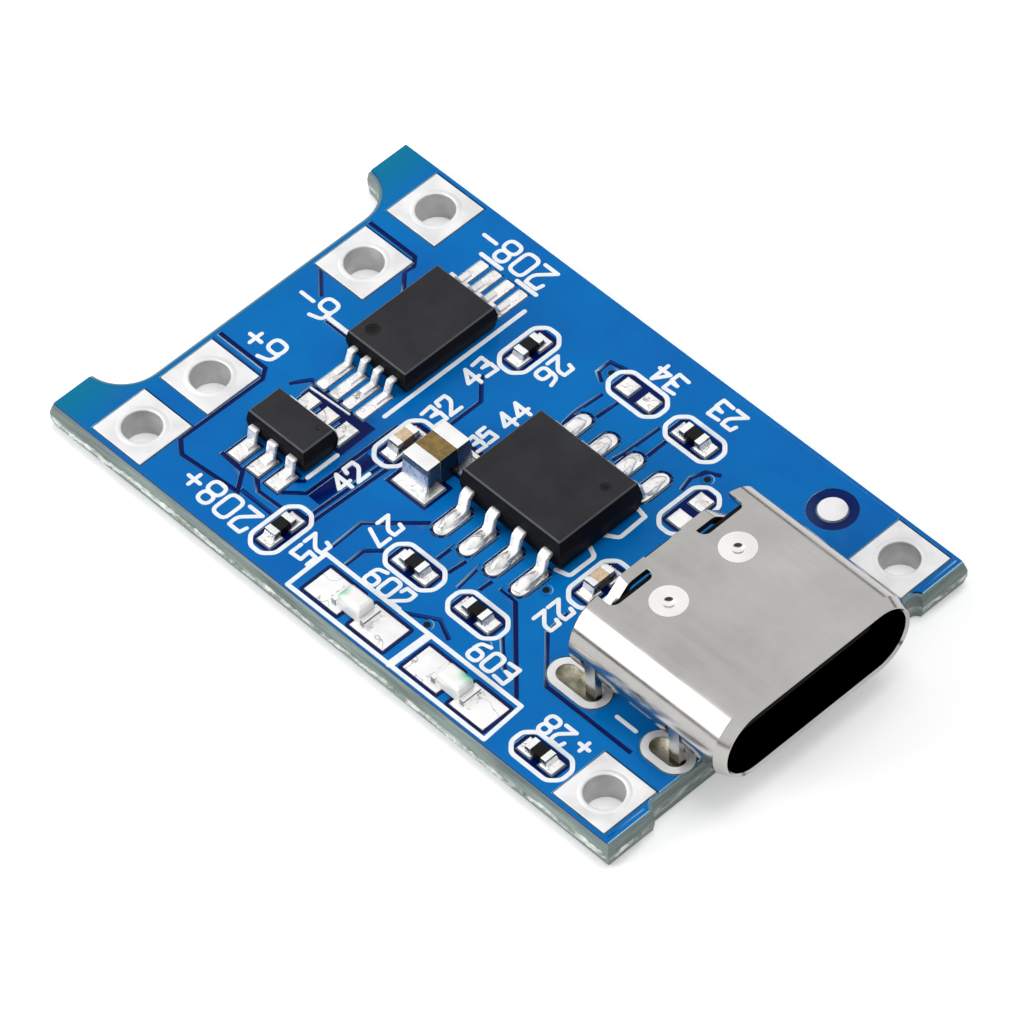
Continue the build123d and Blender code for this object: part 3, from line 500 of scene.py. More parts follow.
def moulding_material(name, side, low, high, rough=(0.5, 0.68)):
    """Black moulding compound with a fine sand-blasted grain, painted shade on its sides and a
    painted highlight on the rounded rim of its top.
    """
    material = new_material(name)
    tree = material.node_tree
    face, mask, _ = cloudy(tree, low, high, Scale=520.0, Detail=5.0, Low=0.3, High=0.7)
    grain = add_cloud(tree, Scale=5200.0, Detail=3.0)
    # Painted highlight on the rounded rim of the top, and painted shade on the sides
    rim = mask_of(tree, facing, Start=0.4, End=0.6)
    edge = mixed(tree, rim, side, tuple(2.4 * value for value in high))
    lit_top = mask_of(tree, facing, Start=0.85, End=0.97)
    colour = mixed(tree, lit_top, edge, face)
    return finish_surface(
        material, colour, spread(tree, mask, *rough), grain["Height"], 0.35, 0.02,
        Specular_IOR_Level=0.1)


def ceramic_material(name, low, high, side=None, rough=(0.35, 0.5)):
    """Fired ceramic with fine specks; the sides may carry painted shade, darker than the top."""
    material = new_material(name)
    tree = material.node_tree
    colour, _, height = cloudy(tree, low, high, Scale=4200.0, Detail=4.0, Low=0.42, High=0.6)
    if side is not None:
        # Painted shade: the sides take the darker colour
        lit_top = mask_of(tree, facing, Start=0.6, End=0.95)
        colour = mixed(tree, lit_top, side, colour)
    cloud = mask_of(tree, mottling, Scale=900.0, Detail=2.0)
    roughness = spread(tree, cloud, *rough)
    return finish_surface(material, colour, roughness, height, 0.2, 0.01)


def steel_material():
    """Drawn steel: streaks along the draw, handling marks, painted shade on the leg ends below the
    shell and a painted shadow on its inner wall.
    """
    material = new_material("socket_steel")
    tree = material.node_tree
    pale, mask, _ = cloudy(
        tree, (0.39, 0.375, 0.355), (0.54, 0.53, 0.51),
        Scale=300.0, Detail=4.0, Low=0.34, High=0.66)
    streaks = add_cloud(
        tree, Scale=700.0, Detail=6.0, Low=0.25, High=0.75, Stretch=(0.18, 2.2, 2.2))
    drawn = mixed(tree, streaks["Mask"], pale, (0.48, 0.47, 0.45))
    underside = shell_high[2] - 2 * (shell_high[1] - shell_flat_half)
    # Painted shade on the legs below the shell's underside
    leg_shade_mask = mask_of(
        tree, band, Axis=(0, 0, -1), Start=-underside - 0.05 * MM, End=-underside + 0.05 * MM)
    shaded_leg_colour = mixed(tree, leg_shade_mask, drawn, (0.08, 0.075, 0.06))
    # Painted shadow: the shell's inner wall is near black
    inside = mask_of(tree, shell_inside)
    colour = mixed(tree, inside, shaded_leg_colour, (0.006, 0.0055, 0.005))
    return finish_surface(
        material, colour, spread(tree, mask, 0.12, 0.22), streaks["Height"], 0.1, 0.01,
        Metallic=1.0)


def lens_material():
    """Milky cast resin with painted green glints where the chip below would show through."""
    material = new_material("milky_lens")
    tree = material.node_tree
    milk, _, height = cloudy(
        tree, (0.9, 0.9, 0.86), (0.97, 0.97, 0.94), Scale=1500.0, Detail=3.0, Low=0.35, High=0.7)
    # Painted green glint over each lamp's chip
    for x, y in lens_glints:
        point = (x * MM, y * MM, land_top + glint_height * MM)
        spot = mask_of(tree, round_spot, Point=point, Radius=glint_radius * MM)
        milk = mixed(tree, spot, milk, (0.0, 0.5, 0.26))
    return finish_surface(
        material, milk, 0.16, height, 0.1, 0.02,
        Subsurface_Weight=0.15, Subsurface_Scale=0.0003, Coat_Weight=0.4)


def ink_material():
    """White screen-printed ink, slightly uneven where it runs over the mask."""
    material = new_material("white_ink")
    tree = material.node_tree
    colour, mask, height = cloudy(
        tree, (0.8, 0.86, 0.92), (0.92, 0.94, 0.95), Scale=2400.0, Detail=3.0, Low=0.3, High=0.6)
    return finish_surface(material, colour, spread(tree, mask, 0.4, 0.6), height, 0.3, 0.01)


materials = {
    "blue_mask": blue_mask_material(),
    "glass_fibre": glass_fibre_material(),
    # Pads, rims and hole barrels: painted light on top, painted shade on the sides that turn down
    "tinned_copper": plated_material(
        "tinned_copper", ((0.74, 0.74, 0.75), (0.88, 0.88, 0.89)),
        ((0.44, 0.44, 0.44), (0.66, 0.66, 0.66)), 0.35, (0.4, 0.55), 700.0, 0.15),
    "lead_metal": tin_material(
        "lead_metal", (0.78, 0.77, 0.76), (0.94, 0.93, 0.92), 0.5, (0.22, 0.36), 1100.0, 0.12),
    "solder": veined_solder_material(
        "solder", (0.6, 0.6, 0.6), (0.97, 0.96, 0.95), (0.22, 0.2, 0.18),
        1300.0, 0.007, 0.7, (0.2, 0.32), 0.3),
    # First colour: painted shade on the sides; the rim takes a painted highlight
    "chip_moulding": moulding_material(
        "chip_moulding", (0.004, 0.004, 0.005), (0.022, 0.022, 0.024), (0.036, 0.037, 0.04)),
    "resistor_glaze": moulding_material(
        "resistor_glaze", (0.003, 0.003, 0.003), (0.004, 0.004, 0.004), (0.014, 0.014, 0.015),
        (0.2, 0.35)),
    # Near-black sides under the ochre top: painted shade
    "dark_ceramic": ceramic_material(
        "dark_ceramic", (0.16, 0.098, 0.016), (0.25, 0.155, 0.03), (0.01, 0.007, 0.005),
        (0.16, 0.26)),
    # Brown sides under the pale top: painted shade
    "pale_ceramic": ceramic_material(
        "pale_ceramic", (0.6, 0.44, 0.27), (0.74, 0.57, 0.38), (0.12, 0.08, 0.05)),
    # Caps: painted light on the top, painted shade and reflection on the dark flanks
    "cap_metal": plated_material(
        "cap_metal", ((0.84, 0.84, 0.84), (0.96, 0.96, 0.95)),
        ((0.1, 0.125, 0.135), (0.22, 0.26, 0.28)), 0.8, (0.18, 0.28), 620.0, 0.08),
    "lamp_base": ceramic_material("lamp_base", (0.78, 0.77, 0.7), (0.86, 0.85, 0.8)),
    "milky_lens": lens_material(),
    "socket_steel": steel_material(),
    "socket_moulding": moulding_material(
        "socket_moulding", (0.002, 0.002, 0.002), (0.004, 0.004, 0.004), (0.007, 0.007, 0.007)),
    "gold_contact": tin_material(
        "gold_contact", (0.72, 0.48, 0.16), (0.86, 0.62, 0.26), 1.0, (0.2, 0.3)),
    "white_ink": ink_material(),
}
bare_mask = bare_mask_material()
torn_fibre = torn_fibre_material()
painted_highlight_steel = painted_highlight_steel_material()
lamp_solder = veined_solder_material(
    "lamp_solder", (0.84, 0.84, 0.85), (0.96, 0.95, 0.95), (0.36, 0.34, 0.33),
    620.0, 0.006, 0.15, (0.3, 0.45), 0.25)
slot_solder = veined_solder_material(
    "slot_solder", (0.1, 0.088, 0.04), (0.46, 0.43, 0.33), (0.1, 0.088, 0.04),
    800.0, 0.004, 0.5, (0.25, 0.4), 0.3)
slot_of = {entry["node"]: entry["material_slot"] for entry in frame["record"]["subparts"]}
for name, node in nodes.items():
    node.data.materials.clear()
    node.data.materials.append(slot_solder if name == "leg_solder" else materials[slot_of[name]])


# Mesh helpers

def finished_object(name, bm, slot, smooth_angle=60.0, finish=None):
    """Turn a bmesh into a piece that rides on the module; finish takes its slot's place."""
    bmesh.ops.recalc_face_normals(bm, faces=bm.faces)
    mesh = bpy.data.meshes.new(name)
    bm.to_mesh(mesh)
    bm.free()
    mesh.materials.append(finish or materials[slot])
    piece = bpy.data.objects.new(name, mesh)
    bpy.context.collection.objects.link(piece)
    for polygon in mesh.polygons:
        polygon.use_smooth = True
    mesh.set_sharp_from_angle(angle=math.radians(smooth_angle))
    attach(piece, "root")
    return piece


def ring(bm, points, z):
    """Corners at one height in metres, from points in millimetres."""
    return [bm.verts.new((p[0] * MM, p[1] * MM, z)) for p in points]


def join_rings(bm, rings, looped=False, capped=False):
    """Walls between rings that follow each other; the last may meet the first, or both close."""
    count = len(rings[0])
    for before, after in zip(rings, rings[1:] + rings[:1] if looped else rings[1:]):
        for i in range(count):
            j = (i + 1) % count
            bm.faces.new((before[i], before[j], after[j], after[i]))
    if capped:
        bm.faces.new(rings[0][::-1])
        bm.faces.new(rings[-1])


def round_points(centre, radius, count):
    turns = [2 * math.pi * k / count for k in range(count)]
    return [
        (centre[0] + radius * math.cos(turn), centre[1] + radius * math.sin(turn))
        for turn in turns]


def soften(points, radius, closed=False, steps=4):
    """The same route with each corner turned into a short curve."""
    count = len(points)
    result = []
    for i, point in enumerate(points):
        corner = Vector(point)
        if not closed and i in (0, count - 1):
            result.append(corner)
            continue
        before = Vector(points[i - 1]) - corner
        after = Vector(points[(i + 1) % count]) - corner
        reach = min(radius, before.length * 0.49, after.length * 0.49)
        start = corner + before.normalized() * reach
        end = corner + after.normalized() * reach
        for step in range(steps + 1):
            t = step / steps
            result.append(start * (1 - t) ** 2 + corner * 2 * t * (1 - t) + end * t ** 2)
    return result


def side_points(route, width, closed):
    """Left and right edges of a band of this width along the route."""
    count = len(route)
    left, right = [], []
    for i, point in enumerate(route):
        goes_on = closed or i < count - 1
        ahead = route[(i + 1) % count] - point if goes_on else point - route[i - 1]
        behind = point - route[i - 1] if closed or i > 0 else ahead
        ahead = ahead.normalized()
        behind = behind.normalized()
        tangent = (ahead + behind).normalized()
        normal = Vector((-tangent.y, tangent.x))
        stretch = 1 / max(0.5, tangent.dot(ahead))
        left.append(point + normal * width / 2 * stretch)
        right.append(point - normal * width / 2 * stretch)
    return left, right


def split_sharp(points, limit=75.0):
    """Open routes cut from one at each corner that turns more than the limit, in degrees."""
    routes = [[points[0]]]
    for i in range(1, len(points)):
        routes[-1].append(points[i])
        if i < len(points) - 1:
            ahead, behind = points[i + 1] - points[i], points[i] - points[i - 1]
            if math.degrees(ahead.angle(behind)) > limit:
                routes.append([points[i]])
    return routes


def ink_strip(bm, route, width, bottom, top):
    """One open line with round ends, as a strip of four-sided faces between two heights."""
    left, right = side_points(route, width, False)
    edges = [left, right]
    for centre, start in ((route[0], right[0]), (route[-1], left[-1])):
        spoke = start - centre
        edges.append([
            centre + Matrix.Rotation(-math.pi * step / 6, 2) @ spoke for step in range(1, 6)])
    loops = []
    for z, flip in ((bottom, True), (top, False)):
        lefts, rights, start_arc, end_arc = [ring(bm, edge, z) for edge in edges]
        faces = [
            (rights[i], rights[i + 1], lefts[i + 1], lefts[i]) for i in range(len(lefts) - 1)]
        faces.append((rights[0], *start_arc, lefts[0])[::-1])
        faces.append((lefts[-1], *end_arc, rights[-1])[::-1])
        for face in faces:
            bm.faces.new(face[::-1] if flip else face)
        loops.append(rights[::-1] + start_arc + lefts + end_arc)
    join_rings(bm, loops)


def ink_stroke(bm, points, width, closed=False, radius=0.25, top=foil_top + ink_height):
    """One printed line with round ends, or a closed loop."""
    radius = max(radius, width * 0.75)
    points = [Vector(p) for p in points]
    if closed:
        left, right = side_points(soften(points, radius, True), width, True)
        join_rings(bm, [
            ring(bm, edge, z)
            for z, edge in ((bare_top, left), (top, left), (top, right), (bare_top, right))
        ], looped=True)
        return
    for i, route in enumerate(split_sharp(points)):
        ink_strip(bm, soften(route, radius), width, bare_top, top + i * ink_lift / 4)


def box_outline(x, y, length, width, radius, steps=4):
    """Rounded rectangle outline, in millimetres."""
    outline = []
    for sx, sy, start in ((1, 1, 0), (-1, 1, 90), (-1, -1, 180), (1, -1, 270)):
        corner = (x + sx * (length / 2 - radius), y + sy * (width / 2 - radius))
        for step in range(steps + 1):
            angle = math.radians(start + 90 * step / steps)
            outline.append((
                corner[0] + radius * math.cos(angle), corner[1] + radius * math.sin(angle)))
    return outline


def islands(name):
    """Boxes of a node's separate solids, in millimetres: (low x, low y, high x, high y)."""
    bm = bmesh.new()
    bm.from_mesh(nodes[name].data)
    bmesh.ops.remove_doubles(bm, verts=bm.verts, dist=weld_distance)
    waiting = set(bm.verts)
    boxes = []
    while waiting:
        found = [waiting.pop()]
        for vertex in found:
            for edge in vertex.link_edges:
                other = edge.other_vert(vertex)
                if other in waiting:
                    waiting.remove(other)
                    found.append(other)
        xs = [v.co.x / MM for v in found]
        ys = [v.co.y / MM for v in found]
        boxes.append((min(xs), min(ys), max(xs), max(ys)))
    bm.free()
    return sorted(boxes)


# Printed white ink: outlines round parts, marks beside pads and plain numbers

def ink_outlines():
    """Rounded frames round the chip parts, the lamp box and the marks beside the chips."""
    bm = bmesh.new()
    for x, y, turned in part_frames:
        half = (frame_length / 2, frame_width / 2)
        half = half[::-1] if turned else half
        points = []
        for sx, sy in ((1, 1), (-1, 1), (-1, -1), (1, -1)):
            first = (x + sx * half[0], y + sy * (half[1] - frame_cut))
            second = (x + sx * (half[0] - frame_cut), y + sy * half[1])
            points += [first, second] if sx == sy else [second, first]
        ink_stroke(bm, points, outline_width, True, 0.16)
    ink_stroke(bm, lamp_divider, divider_width)
    for i, points in enumerate(printed_lines):
        top = foil_top + ink_height + (1 + i % 3) * ink_lift
        width = fine_width if i == fine_line else outline_width
        ink_stroke(bm, points, width, radius=0.12, top=top)
    finished_object("printed_outlines", bm, "white_ink", 30.0)


def print_text(bm, text, x, y, height, heading):
    """Stroke digits centred on a place; heading is the reading direction in degrees."""
    turn = Matrix.Rotation(math.radians(heading), 2)
    strokes = 0
    for i, letter in enumerate(text):
        start = (i - len(text) / 2) * digit_pitch * height
        for points, closed in digit_strokes[letter]:
            placed = [
                turn @ Vector((start + px * height + digit_inset * height, (py - 0.5) * height))
                + Vector((x, y))
                for px, py in points
            ]
            strokes += 1
            top = foil_top + ink_height + (4 + strokes % 4) * ink_lift
            ink_stroke(bm, placed, number_width, closed, digit_corner * height, top)


def ink_numbers():
    """Plain numbers and polarity marks."""
    bm = bmesh.new()
    for text in printed_texts:
        print_text(bm, *text)
    finished_object("printed_numbers", bm, "white_ink", 30.0)


ink_outlines()
ink_numbers()


# Solder and lands

def domed_land(bm, outline, centre, bottom, edge, rise):
    """A land with a low crown of solder, from its outline in millimetres."""
    rings = [ring(bm, outline, bottom)]
    for share in (1.0, 0.97, 0.88, 0.7, 0.4):
        drawn_in = [tuple(c + (v - c) * share for v, c in zip(p, centre)) for p in outline]
        rings.append(ring(bm, drawn_in, edge + rise * (1 - share ** 2) ** 0.6))
    join_rings(bm, rings, capped=True)


def soldered_lands(name, node, rise, corner, hide=False, finish=None):
    """Crowned solder over every land of a node; corner 1 gives fully round ends."""
    bm = bmesh.new()
    for x0, y0, x1, y1 in islands(node):
        length, width = x1 - x0, y1 - y0
        centre = ((x0 + x1) / 2, (y0 + y1) / 2)
        radius = min(length, width) / 2 * corner
        outline = box_outline(*centre, length, width, radius * nearly_all)
        domed_land(bm, outline, centre, core_top if hide else land_top, land_top, rise * MM)
    piece = finished_object(name, bm, "solder", finish=finish)
    if hide:
        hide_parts(node)


def land_corners(name, node, growth, bottom, top):
    """Mask that fills the corners round fully round lands."""
    bm = bmesh.new()
    for x0, y0, x1, y1 in islands(node):
        x0, y0, x1, y1 = x0 - growth, y0 - growth, x1 + growth, y1 + growth
        radius = min(x1 - x0, y1 - y0) / 2 * nearly_all
        for sx, cx, ex in ((1, x1 - radius, x1), (-1, x0 + radius, x0)):
            for sy, cy, ey in ((1, y1 - radius, y1), (-1, y0 + radius, y0)):
                outline = [(ex, ey)] + [
                    (cx + sx * radius * math.cos(math.pi / 2 * k / 5),
                     cy + sy * radius * math.sin(math.pi / 2 * k / 5))
                    for k in range(5, -1, -1)]
                join_rings(bm, [ring(bm, outline, bottom), ring(bm, outline, top)], capped=True)
    finished_object(name, bm, "blue_mask", 35.0)


soldered_lands("charger_chip_solder", "charger_chip_lands", 0.07, 1.0, hide=True)
soldered_lands("switch_chip_solder", "switch_chip_lands", 0.05, 0.35, hide=True)
soldered_lands("guard_chip_solder", "guard_chip_lands", 0.05, 0.25)
soldered_lands("chip_part_solder", "chip_part_lands", 0.05, 0.3)
soldered_lands("lamp_land_solder", "lamp_lands", 0.06, 0.3, finish=lamp_solder)


def foot_solder():
    """Rounded solder that climbs over each foot of the charger chip's leads."""
    bm = bmesh.new()
    body_low, body_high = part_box("charger_chip_body")
    middle = (body_low[1] + body_high[1]) / 2 / MM
    rng = random.Random(5)
    count = 22
    for x0, y0, x1, y1 in islands("charger_chip_lands"):
        side = 1 if y0 > middle else -1
        toe = y1 if side > 0 else y0
        centre = ((x0 + x1) / 2, toe - side * rng.uniform(0.74, 0.82))
        reach, half, rise = rng.uniform(0.56, 0.66), 0.3, rng.uniform(0.24, 0.29)
        rings = []
        for share in (1.0, 0.97, 0.9, 0.78, 0.6, 0.38, 0.15):
            points = []
            for k in range(count):
                angle = 2 * math.pi * k / count
                lump = 1 + 0.07 * math.sin(3 * angle + x0) + 0.05 * math.sin(5 * angle + y0)
                points.append((
                    centre[0] + half * share * lump * math.cos(angle),
                    centre[1] + reach * share * lump * math.sin(angle)))
            rings.append(ring(bm, points, land_top + rise * (1 - share ** 2) ** 0.75 * MM))
        join_rings(bm, rings, capped=True)
    finished_object("charger_foot_solder", bm, "solder")


def slot_solder_fill():
    """Solder with dark flux that fills each leg slot a little below the board's top."""
    bm = bmesh.new()
    for x0, y0, x1, y1 in islands("socket_leg_eyelets"):
        length, width = x1 - x0 - 2 * eyelet_rim, y1 - y0 - 2 * eyelet_rim
        centre = ((x0 + x1) / 2, (y0 + y1) / 2)
        outline = box_outline(*centre, length, width, width / 2 * nearly_all, 6)
        straight = (length - width) / 2
        rings = [ring(bm, outline, 0.8 * MM)]
        for share in (1.0, 0.9, 0.72, 0.5, 0.25):
            points = []
            for px, py in outline:
                spine = max(-straight, min(straight, px - centre[0]))
                points.append((
                    centre[0] + spine + (px - centre[0] - spine) * share,
                    centre[1] + (py - centre[1]) * share))
            rings.append(ring(bm, points, land_top - 0.06 * MM - 0.2 * MM * (1 - share ** 2)))
        join_rings(bm, rings, capped=True)
    finished_object("leg_slot_solder", bm, "solder", finish=slot_solder)


def bowl(bm, centre, radius, top, depth, rings=7, count=36, skin=0.004, pit=0.0):
    """A round hollow, maybe with a deeper pit; its underside is a thin closed skin."""
    rims = []
    for drop in (0.0, skin):
        levels = []
        for step in range(rings):
            share = 1 - step / rings
            deeper = pit * max(0.0, 1 - (share / 0.36) ** 2)
            z = top - (depth * (1 - share ** 2) + deeper + drop) * MM
            levels.append(ring(bm, round_points(centre, radius * share, count), z))
        join_rings(bm, levels)
        bm.faces.new(levels[-1])
        rims.append(levels[0])
    join_rings(bm, rims)


def chip_marks():
    """Smooth dark hollows in the pin-one marks, and the pressed dimples of the socket."""
    bm = bmesh.new()
    for node, x, y, radius in chip_mark_places:
        bowl(bm, (x, y), radius - chip_mark_rim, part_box(node)[1][2] - 0.008 * MM, 0.05)
    finished_object("chip_pin_marks", bm, "resistor_glaze")
    bm = bmesh.new()
    for side in (-1, 1):
        bowl(
            bm, (shell_low[0] / MM + dimple_setback, side * dimple_half_spacing), dimple_radius,
            shell_high[2] + 0.001 * MM, 0.09, 20, 48, pit=0.085)
    # The dimples take the steel with the painted highlight
    finished_object("socket_dimples", bm, "socket_steel", finish=painted_highlight_steel)


def lamp_land_gaps():
    """Dark line of bare board round each lamp land."""
    bm = bmesh.new()
    gap = 0.09
    for x0, y0, x1, y1 in islands("lamp_lands"):
        x0, y0, x1, y1 = x0 - gap, y0 - gap, x1 + gap, y1 + gap
        outline = [(x0, y0), (x1, y0), (x1, y1), (x0, y1)]
        ink_stroke(bm, outline, 0.13, True, 0.08, foil_top + 0.003 * MM)
    finished_object("lamp_land_gaps", bm, "blue_mask", 30.0, bare_mask)


def near_outline(point, reach):
    """Whether a point of the mask lies this near to the board's outline."""
    x, y = point.x, point.y
    if min(board_half_length - abs(x), board_half_width - abs(y)) < reach:
        return True
    recess = battery_recess if x < 0 else socket_recess
    in_recess = board_half_length - abs(x) < recess * MM + reach
    return in_recess and abs(y) < board_half_width - tab_width * MM


def mask_border():
    """Bright mask over foil up to the board's outline, over the bare strip of the solid."""
    source = bmesh.new()
    source.from_mesh(nodes["solder_mask_top"].data)
    bmesh.ops.remove_doubles(source, verts=source.verts, dist=weld_distance)
    source.normal_update()
    bm = bmesh.new()
    made = {}
    kept = []
    for face in source.faces:
        if face.normal.z < 0.9 or abs(face.calc_center_median().z - bare_top) > 0.004 * MM:
            continue
        if all(near_outline(v.co, bare_strip * MM) for v in face.verts):
            for v in face.verts:
                if v.index not in made:
                    made[v.index] = bm.verts.new((v.co.x, v.co.y, bare_top))
            kept.append(bm.faces.new([made[v.index] for v in face.verts]))
    source.free()
    grown = bmesh.ops.extrude_face_region(bm, geom=kept, use_keep_orig=True)
    raised = [v for v in grown["geom"] if isinstance(v, bmesh.types.BMVert)]
    bmesh.ops.translate(bm, verts=raised, vec=(0, 0, foil_top - bare_top + 0.0005 * MM))
    finished_object("mask_border", bm, "blue_mask", 30.0)


def hole_rims():
    """Raised ring of solder round the hole of each wire pad."""
    bm = bmesh.new()
    for name in nodes:
        if name.endswith("_pad"):
            low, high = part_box(name)
            centre = [(low[i] + high[i]) / 2 / MM for i in (0, 1)]
            join_rings(bm, [
                ring(bm, round_points(centre, radius, 40), land_top + (rise - 0.001) * MM)
                for radius, rise in wire_rim
            ], looped=True)
    finished_object("wire_hole_rims", bm, "tinned_copper")


foot_solder()
hole_rims()
slot_solder_fill()
chip_marks()
lamp_land_gaps()
mask_border()
land_corners("charger_land_corners", "charger_chip_lands", 0.0, core_top, bare_top)
land_corners("charger_ring_corners", "charger_chip_lands", 0.12, bare_top, foil_top)


# Broken glass fibre along the snapped edges, and the small plated holes under the mask

def edge_webs():
    """Ragged ridge of torn fibre that stands out of each snapped edge's middle."""
    bm = bmesh.new()
    rng = random.Random(11)
    half_x, half_y = board_half_length / MM, board_half_width / MM
    middle = (board_low[2] / MM + board_high[2] / MM) / 2 - 0.1
    corner_gap, tab_end = 0.1, 1.7
    runs = []
    for side in (-1, 1):
        runs.append((
            (-half_x + corner_gap, side * half_y), (half_x - corner_gap, side * half_y),
            (0, side)))
        for end in (-1, 1):
            runs.append((
                (end * half_x, side * (half_y - corner_gap)),
                (end * half_x, side * (half_y - tab_end)), (end, 0)))
    for start, stop, out in runs:
        start, stop, out = Vector(start), Vector(stop), Vector(out)
        steps = max(12, int((stop - start).length / 0.07))
        columns = []
        drift, width = 0.0, 0.13
        for i in range(steps + 1):
            drift = max(-0.09, min(0.09, drift + rng.uniform(-0.03, 0.03)))
            width = max(0.05, min(0.2, width + rng.uniform(-0.035, 0.035)))
            share = min(1.0, i / 3, (steps - i) / 3)
            at = start.lerp(stop, i / steps)
            column = []
            for height, reach in web_section:
                proud = (0.075 * reach + rng.uniform(-0.02, 0.02)) * share
                if abs(height) == 1.0:
                    proud = -0.03
                column.append(bm.verts.new((
                    (at.x + out.x * proud) * MM, (at.y + out.y * proud) * MM,
                    (middle + drift + height * width) * MM)))
            columns.append(column)
        join_rings(bm, columns, capped=True)
    finished_object("torn_edge_fibre", bm, "glass_fibre", 20.0, torn_fibre)


def small_holes():
    """Small plated holes with the mask sunk into them: a raised rim round a dark disc of painted
    shade where the pit would be.
    """
    rims, shadow_discs = bmesh.new(), bmesh.new()
    count = 20
    for place in small_hole_places:
        join_rings(rims, [
            ring(rims, round_points(place, radius, count), foil_top + rise * MM)
            for radius, rise in small_hole_rim
        ], capped=True)
        # Painted shade: a dark disc just under the foil's top stands for the hole's depth
        domed_land(
            shadow_discs, round_points(place, shadow_disc_radius, count), place,
            foil_top - 0.01 * MM, foil_top + 0.012 * MM, 0.002 * MM)
    finished_object("small_hole_rims", rims, "blue_mask")
    finished_object("small_hole_shadow_discs", shadow_discs, "resistor_glaze")


edge_webs()
small_holes()


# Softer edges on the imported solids

def soften_edges(ending, width, segments=2, angle=40.0, split=None):
    """Weld the nodes with this ending and round their edges; split keeps shallow folds crisp."""
    for name in nodes:
        if not name.endswith(ending):
            continue
        modifiers = nodes[name].modifiers
        modifiers.new("weld", "WELD").merge_threshold = 5 * weld_distance
        bevel = modifiers.new("edge_round", "BEVEL")
        bevel.width = width * MM
        bevel.segments = segments
        bevel.limit_method = "ANGLE"
        bevel.angle_limit = math.radians(angle)
        if split is not None:
            crisp = modifiers.new("crisp_folds", "EDGE_SPLIT")
            crisp.use_edge_sharp = False
            crisp.split_angle = math.radians(split)
        modifiers.new("large_faces_lead", "WEIGHTED_NORMAL").weight = 90


soften_edges("_pad", 0.03, 3)
soften_edges("_leads", 0.035)
soften_edges("_caps", 0.05, 3)
soften_edges("solder_mask_top", 0.035, 2, 50.0)
soften_edges("socket_shell", 0.03, 5, 50.0, 20.0)
soften_edges("_lens", 0.06, 3)


# Floor, light and camera

def seen_rays(tree):
    """The kinds of ray, and a mask of those from the camera or off a glossy surface."""
    rays = add_node(tree, "LightPath").outputs
    return rays, arithmetic(tree, "MAXIMUM", rays["Is Camera Ray"], rays["Is Glossy Ray"])


def white_surround(name):
    """Shadow-catching white: lit like paper, lifted to white for the camera and for gloss."""
    material = new_material(name)
    tree = material.node_tree
    lift = arithmetic(tree, "MULTIPLY", seen_rays(tree)[1], 0.3)
    paper = add_node(tree, "BsdfDiffuse", Color=(0.86, 0.86, 0.87))
    glow = add_node(tree, "Emission", Color=(1, 1, 1), Strength=lift)
    both = add_node(tree, "AddShader", paper.outputs["BSDF"], glow.outputs["Emission"])
    add_node(tree, "OutputMaterial", Surface=both.outputs["Shader"])
    return material


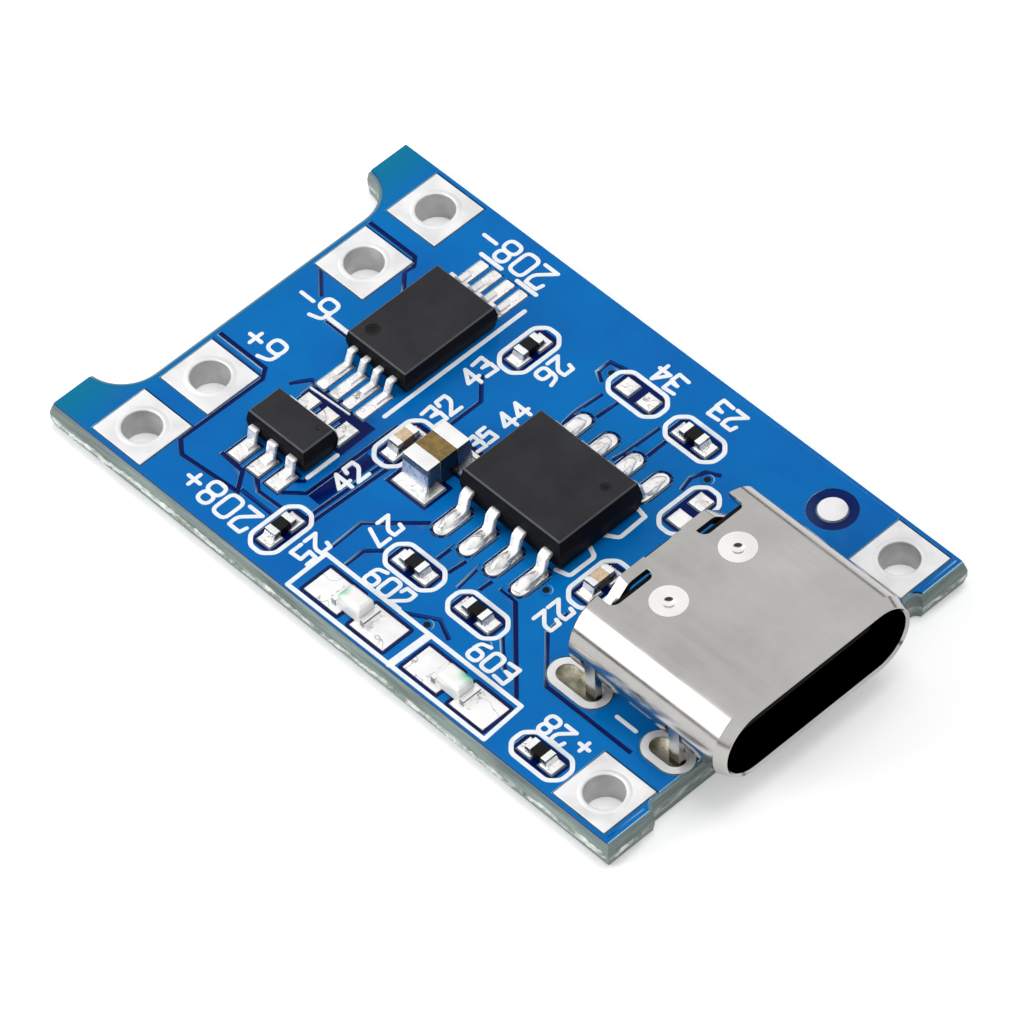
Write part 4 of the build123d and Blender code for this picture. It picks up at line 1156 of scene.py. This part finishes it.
def light_world():
    """White surround, half as strong where it only lights, with a dark horizon for gloss."""
    scene = bpy.context.scene
    scene.world = scene.world or bpy.data.worlds.new("studio")
    scene.world.use_nodes = True
    sky = scene.world.node_tree
    sky.nodes.clear()
    rays, seen = seen_rays(sky)
    level = spread(
        sky, arithmetic(sky, "MAXIMUM", seen, rays["Is Transmission Ray"]), 0.5, 1.0)
    # The thin dark horizon stands where a table would end before its backdrop
    heading = add_node(sky, "TexCoord").outputs["Generated"]
    above = add_node(
        sky, "MapRange", setting=("interpolation_type", "SMOOTHSTEP"),
        Value=add_node(sky, "SeparateXYZ", heading).outputs["Z"], From_Min=0.08, From_Max=0.16)
    below = arithmetic(sky, "SUBTRACT", 1.0, above.outputs["Result"])
    low_gloss = arithmetic(sky, "MULTIPLY", below, rays["Is Glossy Ray"])
    strength = arithmetic(sky, "MULTIPLY", level, spread(sky, low_gloss, 1.0, 0.15))
    background = add_node(sky, "Background", Color=(1, 1, 1), Strength=strength)
    add_node(sky, "OutputWorld", Surface=background.outputs["Background"])


def softbox(name, place, size, power):
    """Area lamp that looks at the board's centre; its place and two sides in metres."""
    lamp = bpy.data.lights.new(name, "AREA")
    lamp.shape = "RECTANGLE"
    lamp.size, lamp.size_y = size
    lamp.energy = power
    holder = bpy.data.objects.new(name, lamp)
    bpy.context.collection.objects.link(holder)
    holder.location = place
    holder.rotation_euler = (-Vector(place)).to_track_quat("-Z", "Y").to_euler()
    return holder


def make_camera():
    azimuth, elevation = math.radians(view_azimuth), math.radians(view_elevation)
    out = Vector((
        math.cos(elevation) * math.sin(azimuth),
        -math.cos(elevation) * math.cos(azimuth),
        math.sin(elevation),
    ))
    lens = bpy.data.cameras.new("camera")
    lens.sensor_width = view_sensor
    lens.sensor_fit = "HORIZONTAL"
    lens.lens = view_lens
    lens.clip_start = 0.01
    lens.clip_end = 10
    holder = bpy.data.objects.new("camera", lens)
    bpy.context.collection.objects.link(holder)
    level_view = out.to_track_quat("Z", "Y").to_matrix()
    turned = level_view @ Matrix.Rotation(math.radians(view_roll), 3, "Z")
    place = Vector(view_aim) * MM + out * view_distance * MM
    holder.matrix_world = Matrix.Translation(place) @ turned.to_4x4()
    bpy.context.scene.camera = holder


bpy.ops.mesh.primitive_plane_add(size=1.2, location=(0, 0, cad_box[0][2]))
floor = bpy.context.object
floor.name = "floor"
floor.data.materials.append(white_surround("floor_white"))
light_world()
softbox("overhead", (0.02, 0.05, 0.32), (0.2, 0.2), 0.42).visible_glossy = False
softbox("front_left", (-0.12, -0.19, 0.1), (0.14, 0.14), 0.28).visible_glossy = False
# A broad strip that only gloss shows: the white band along the socket's near side
softbox("side_strip", (-0.145, -0.205, 0.155), (0.34, 0.24), 0.56).visible_diffuse = False
make_camera()
bpy.context.scene.view_settings.view_transform = "Standard"
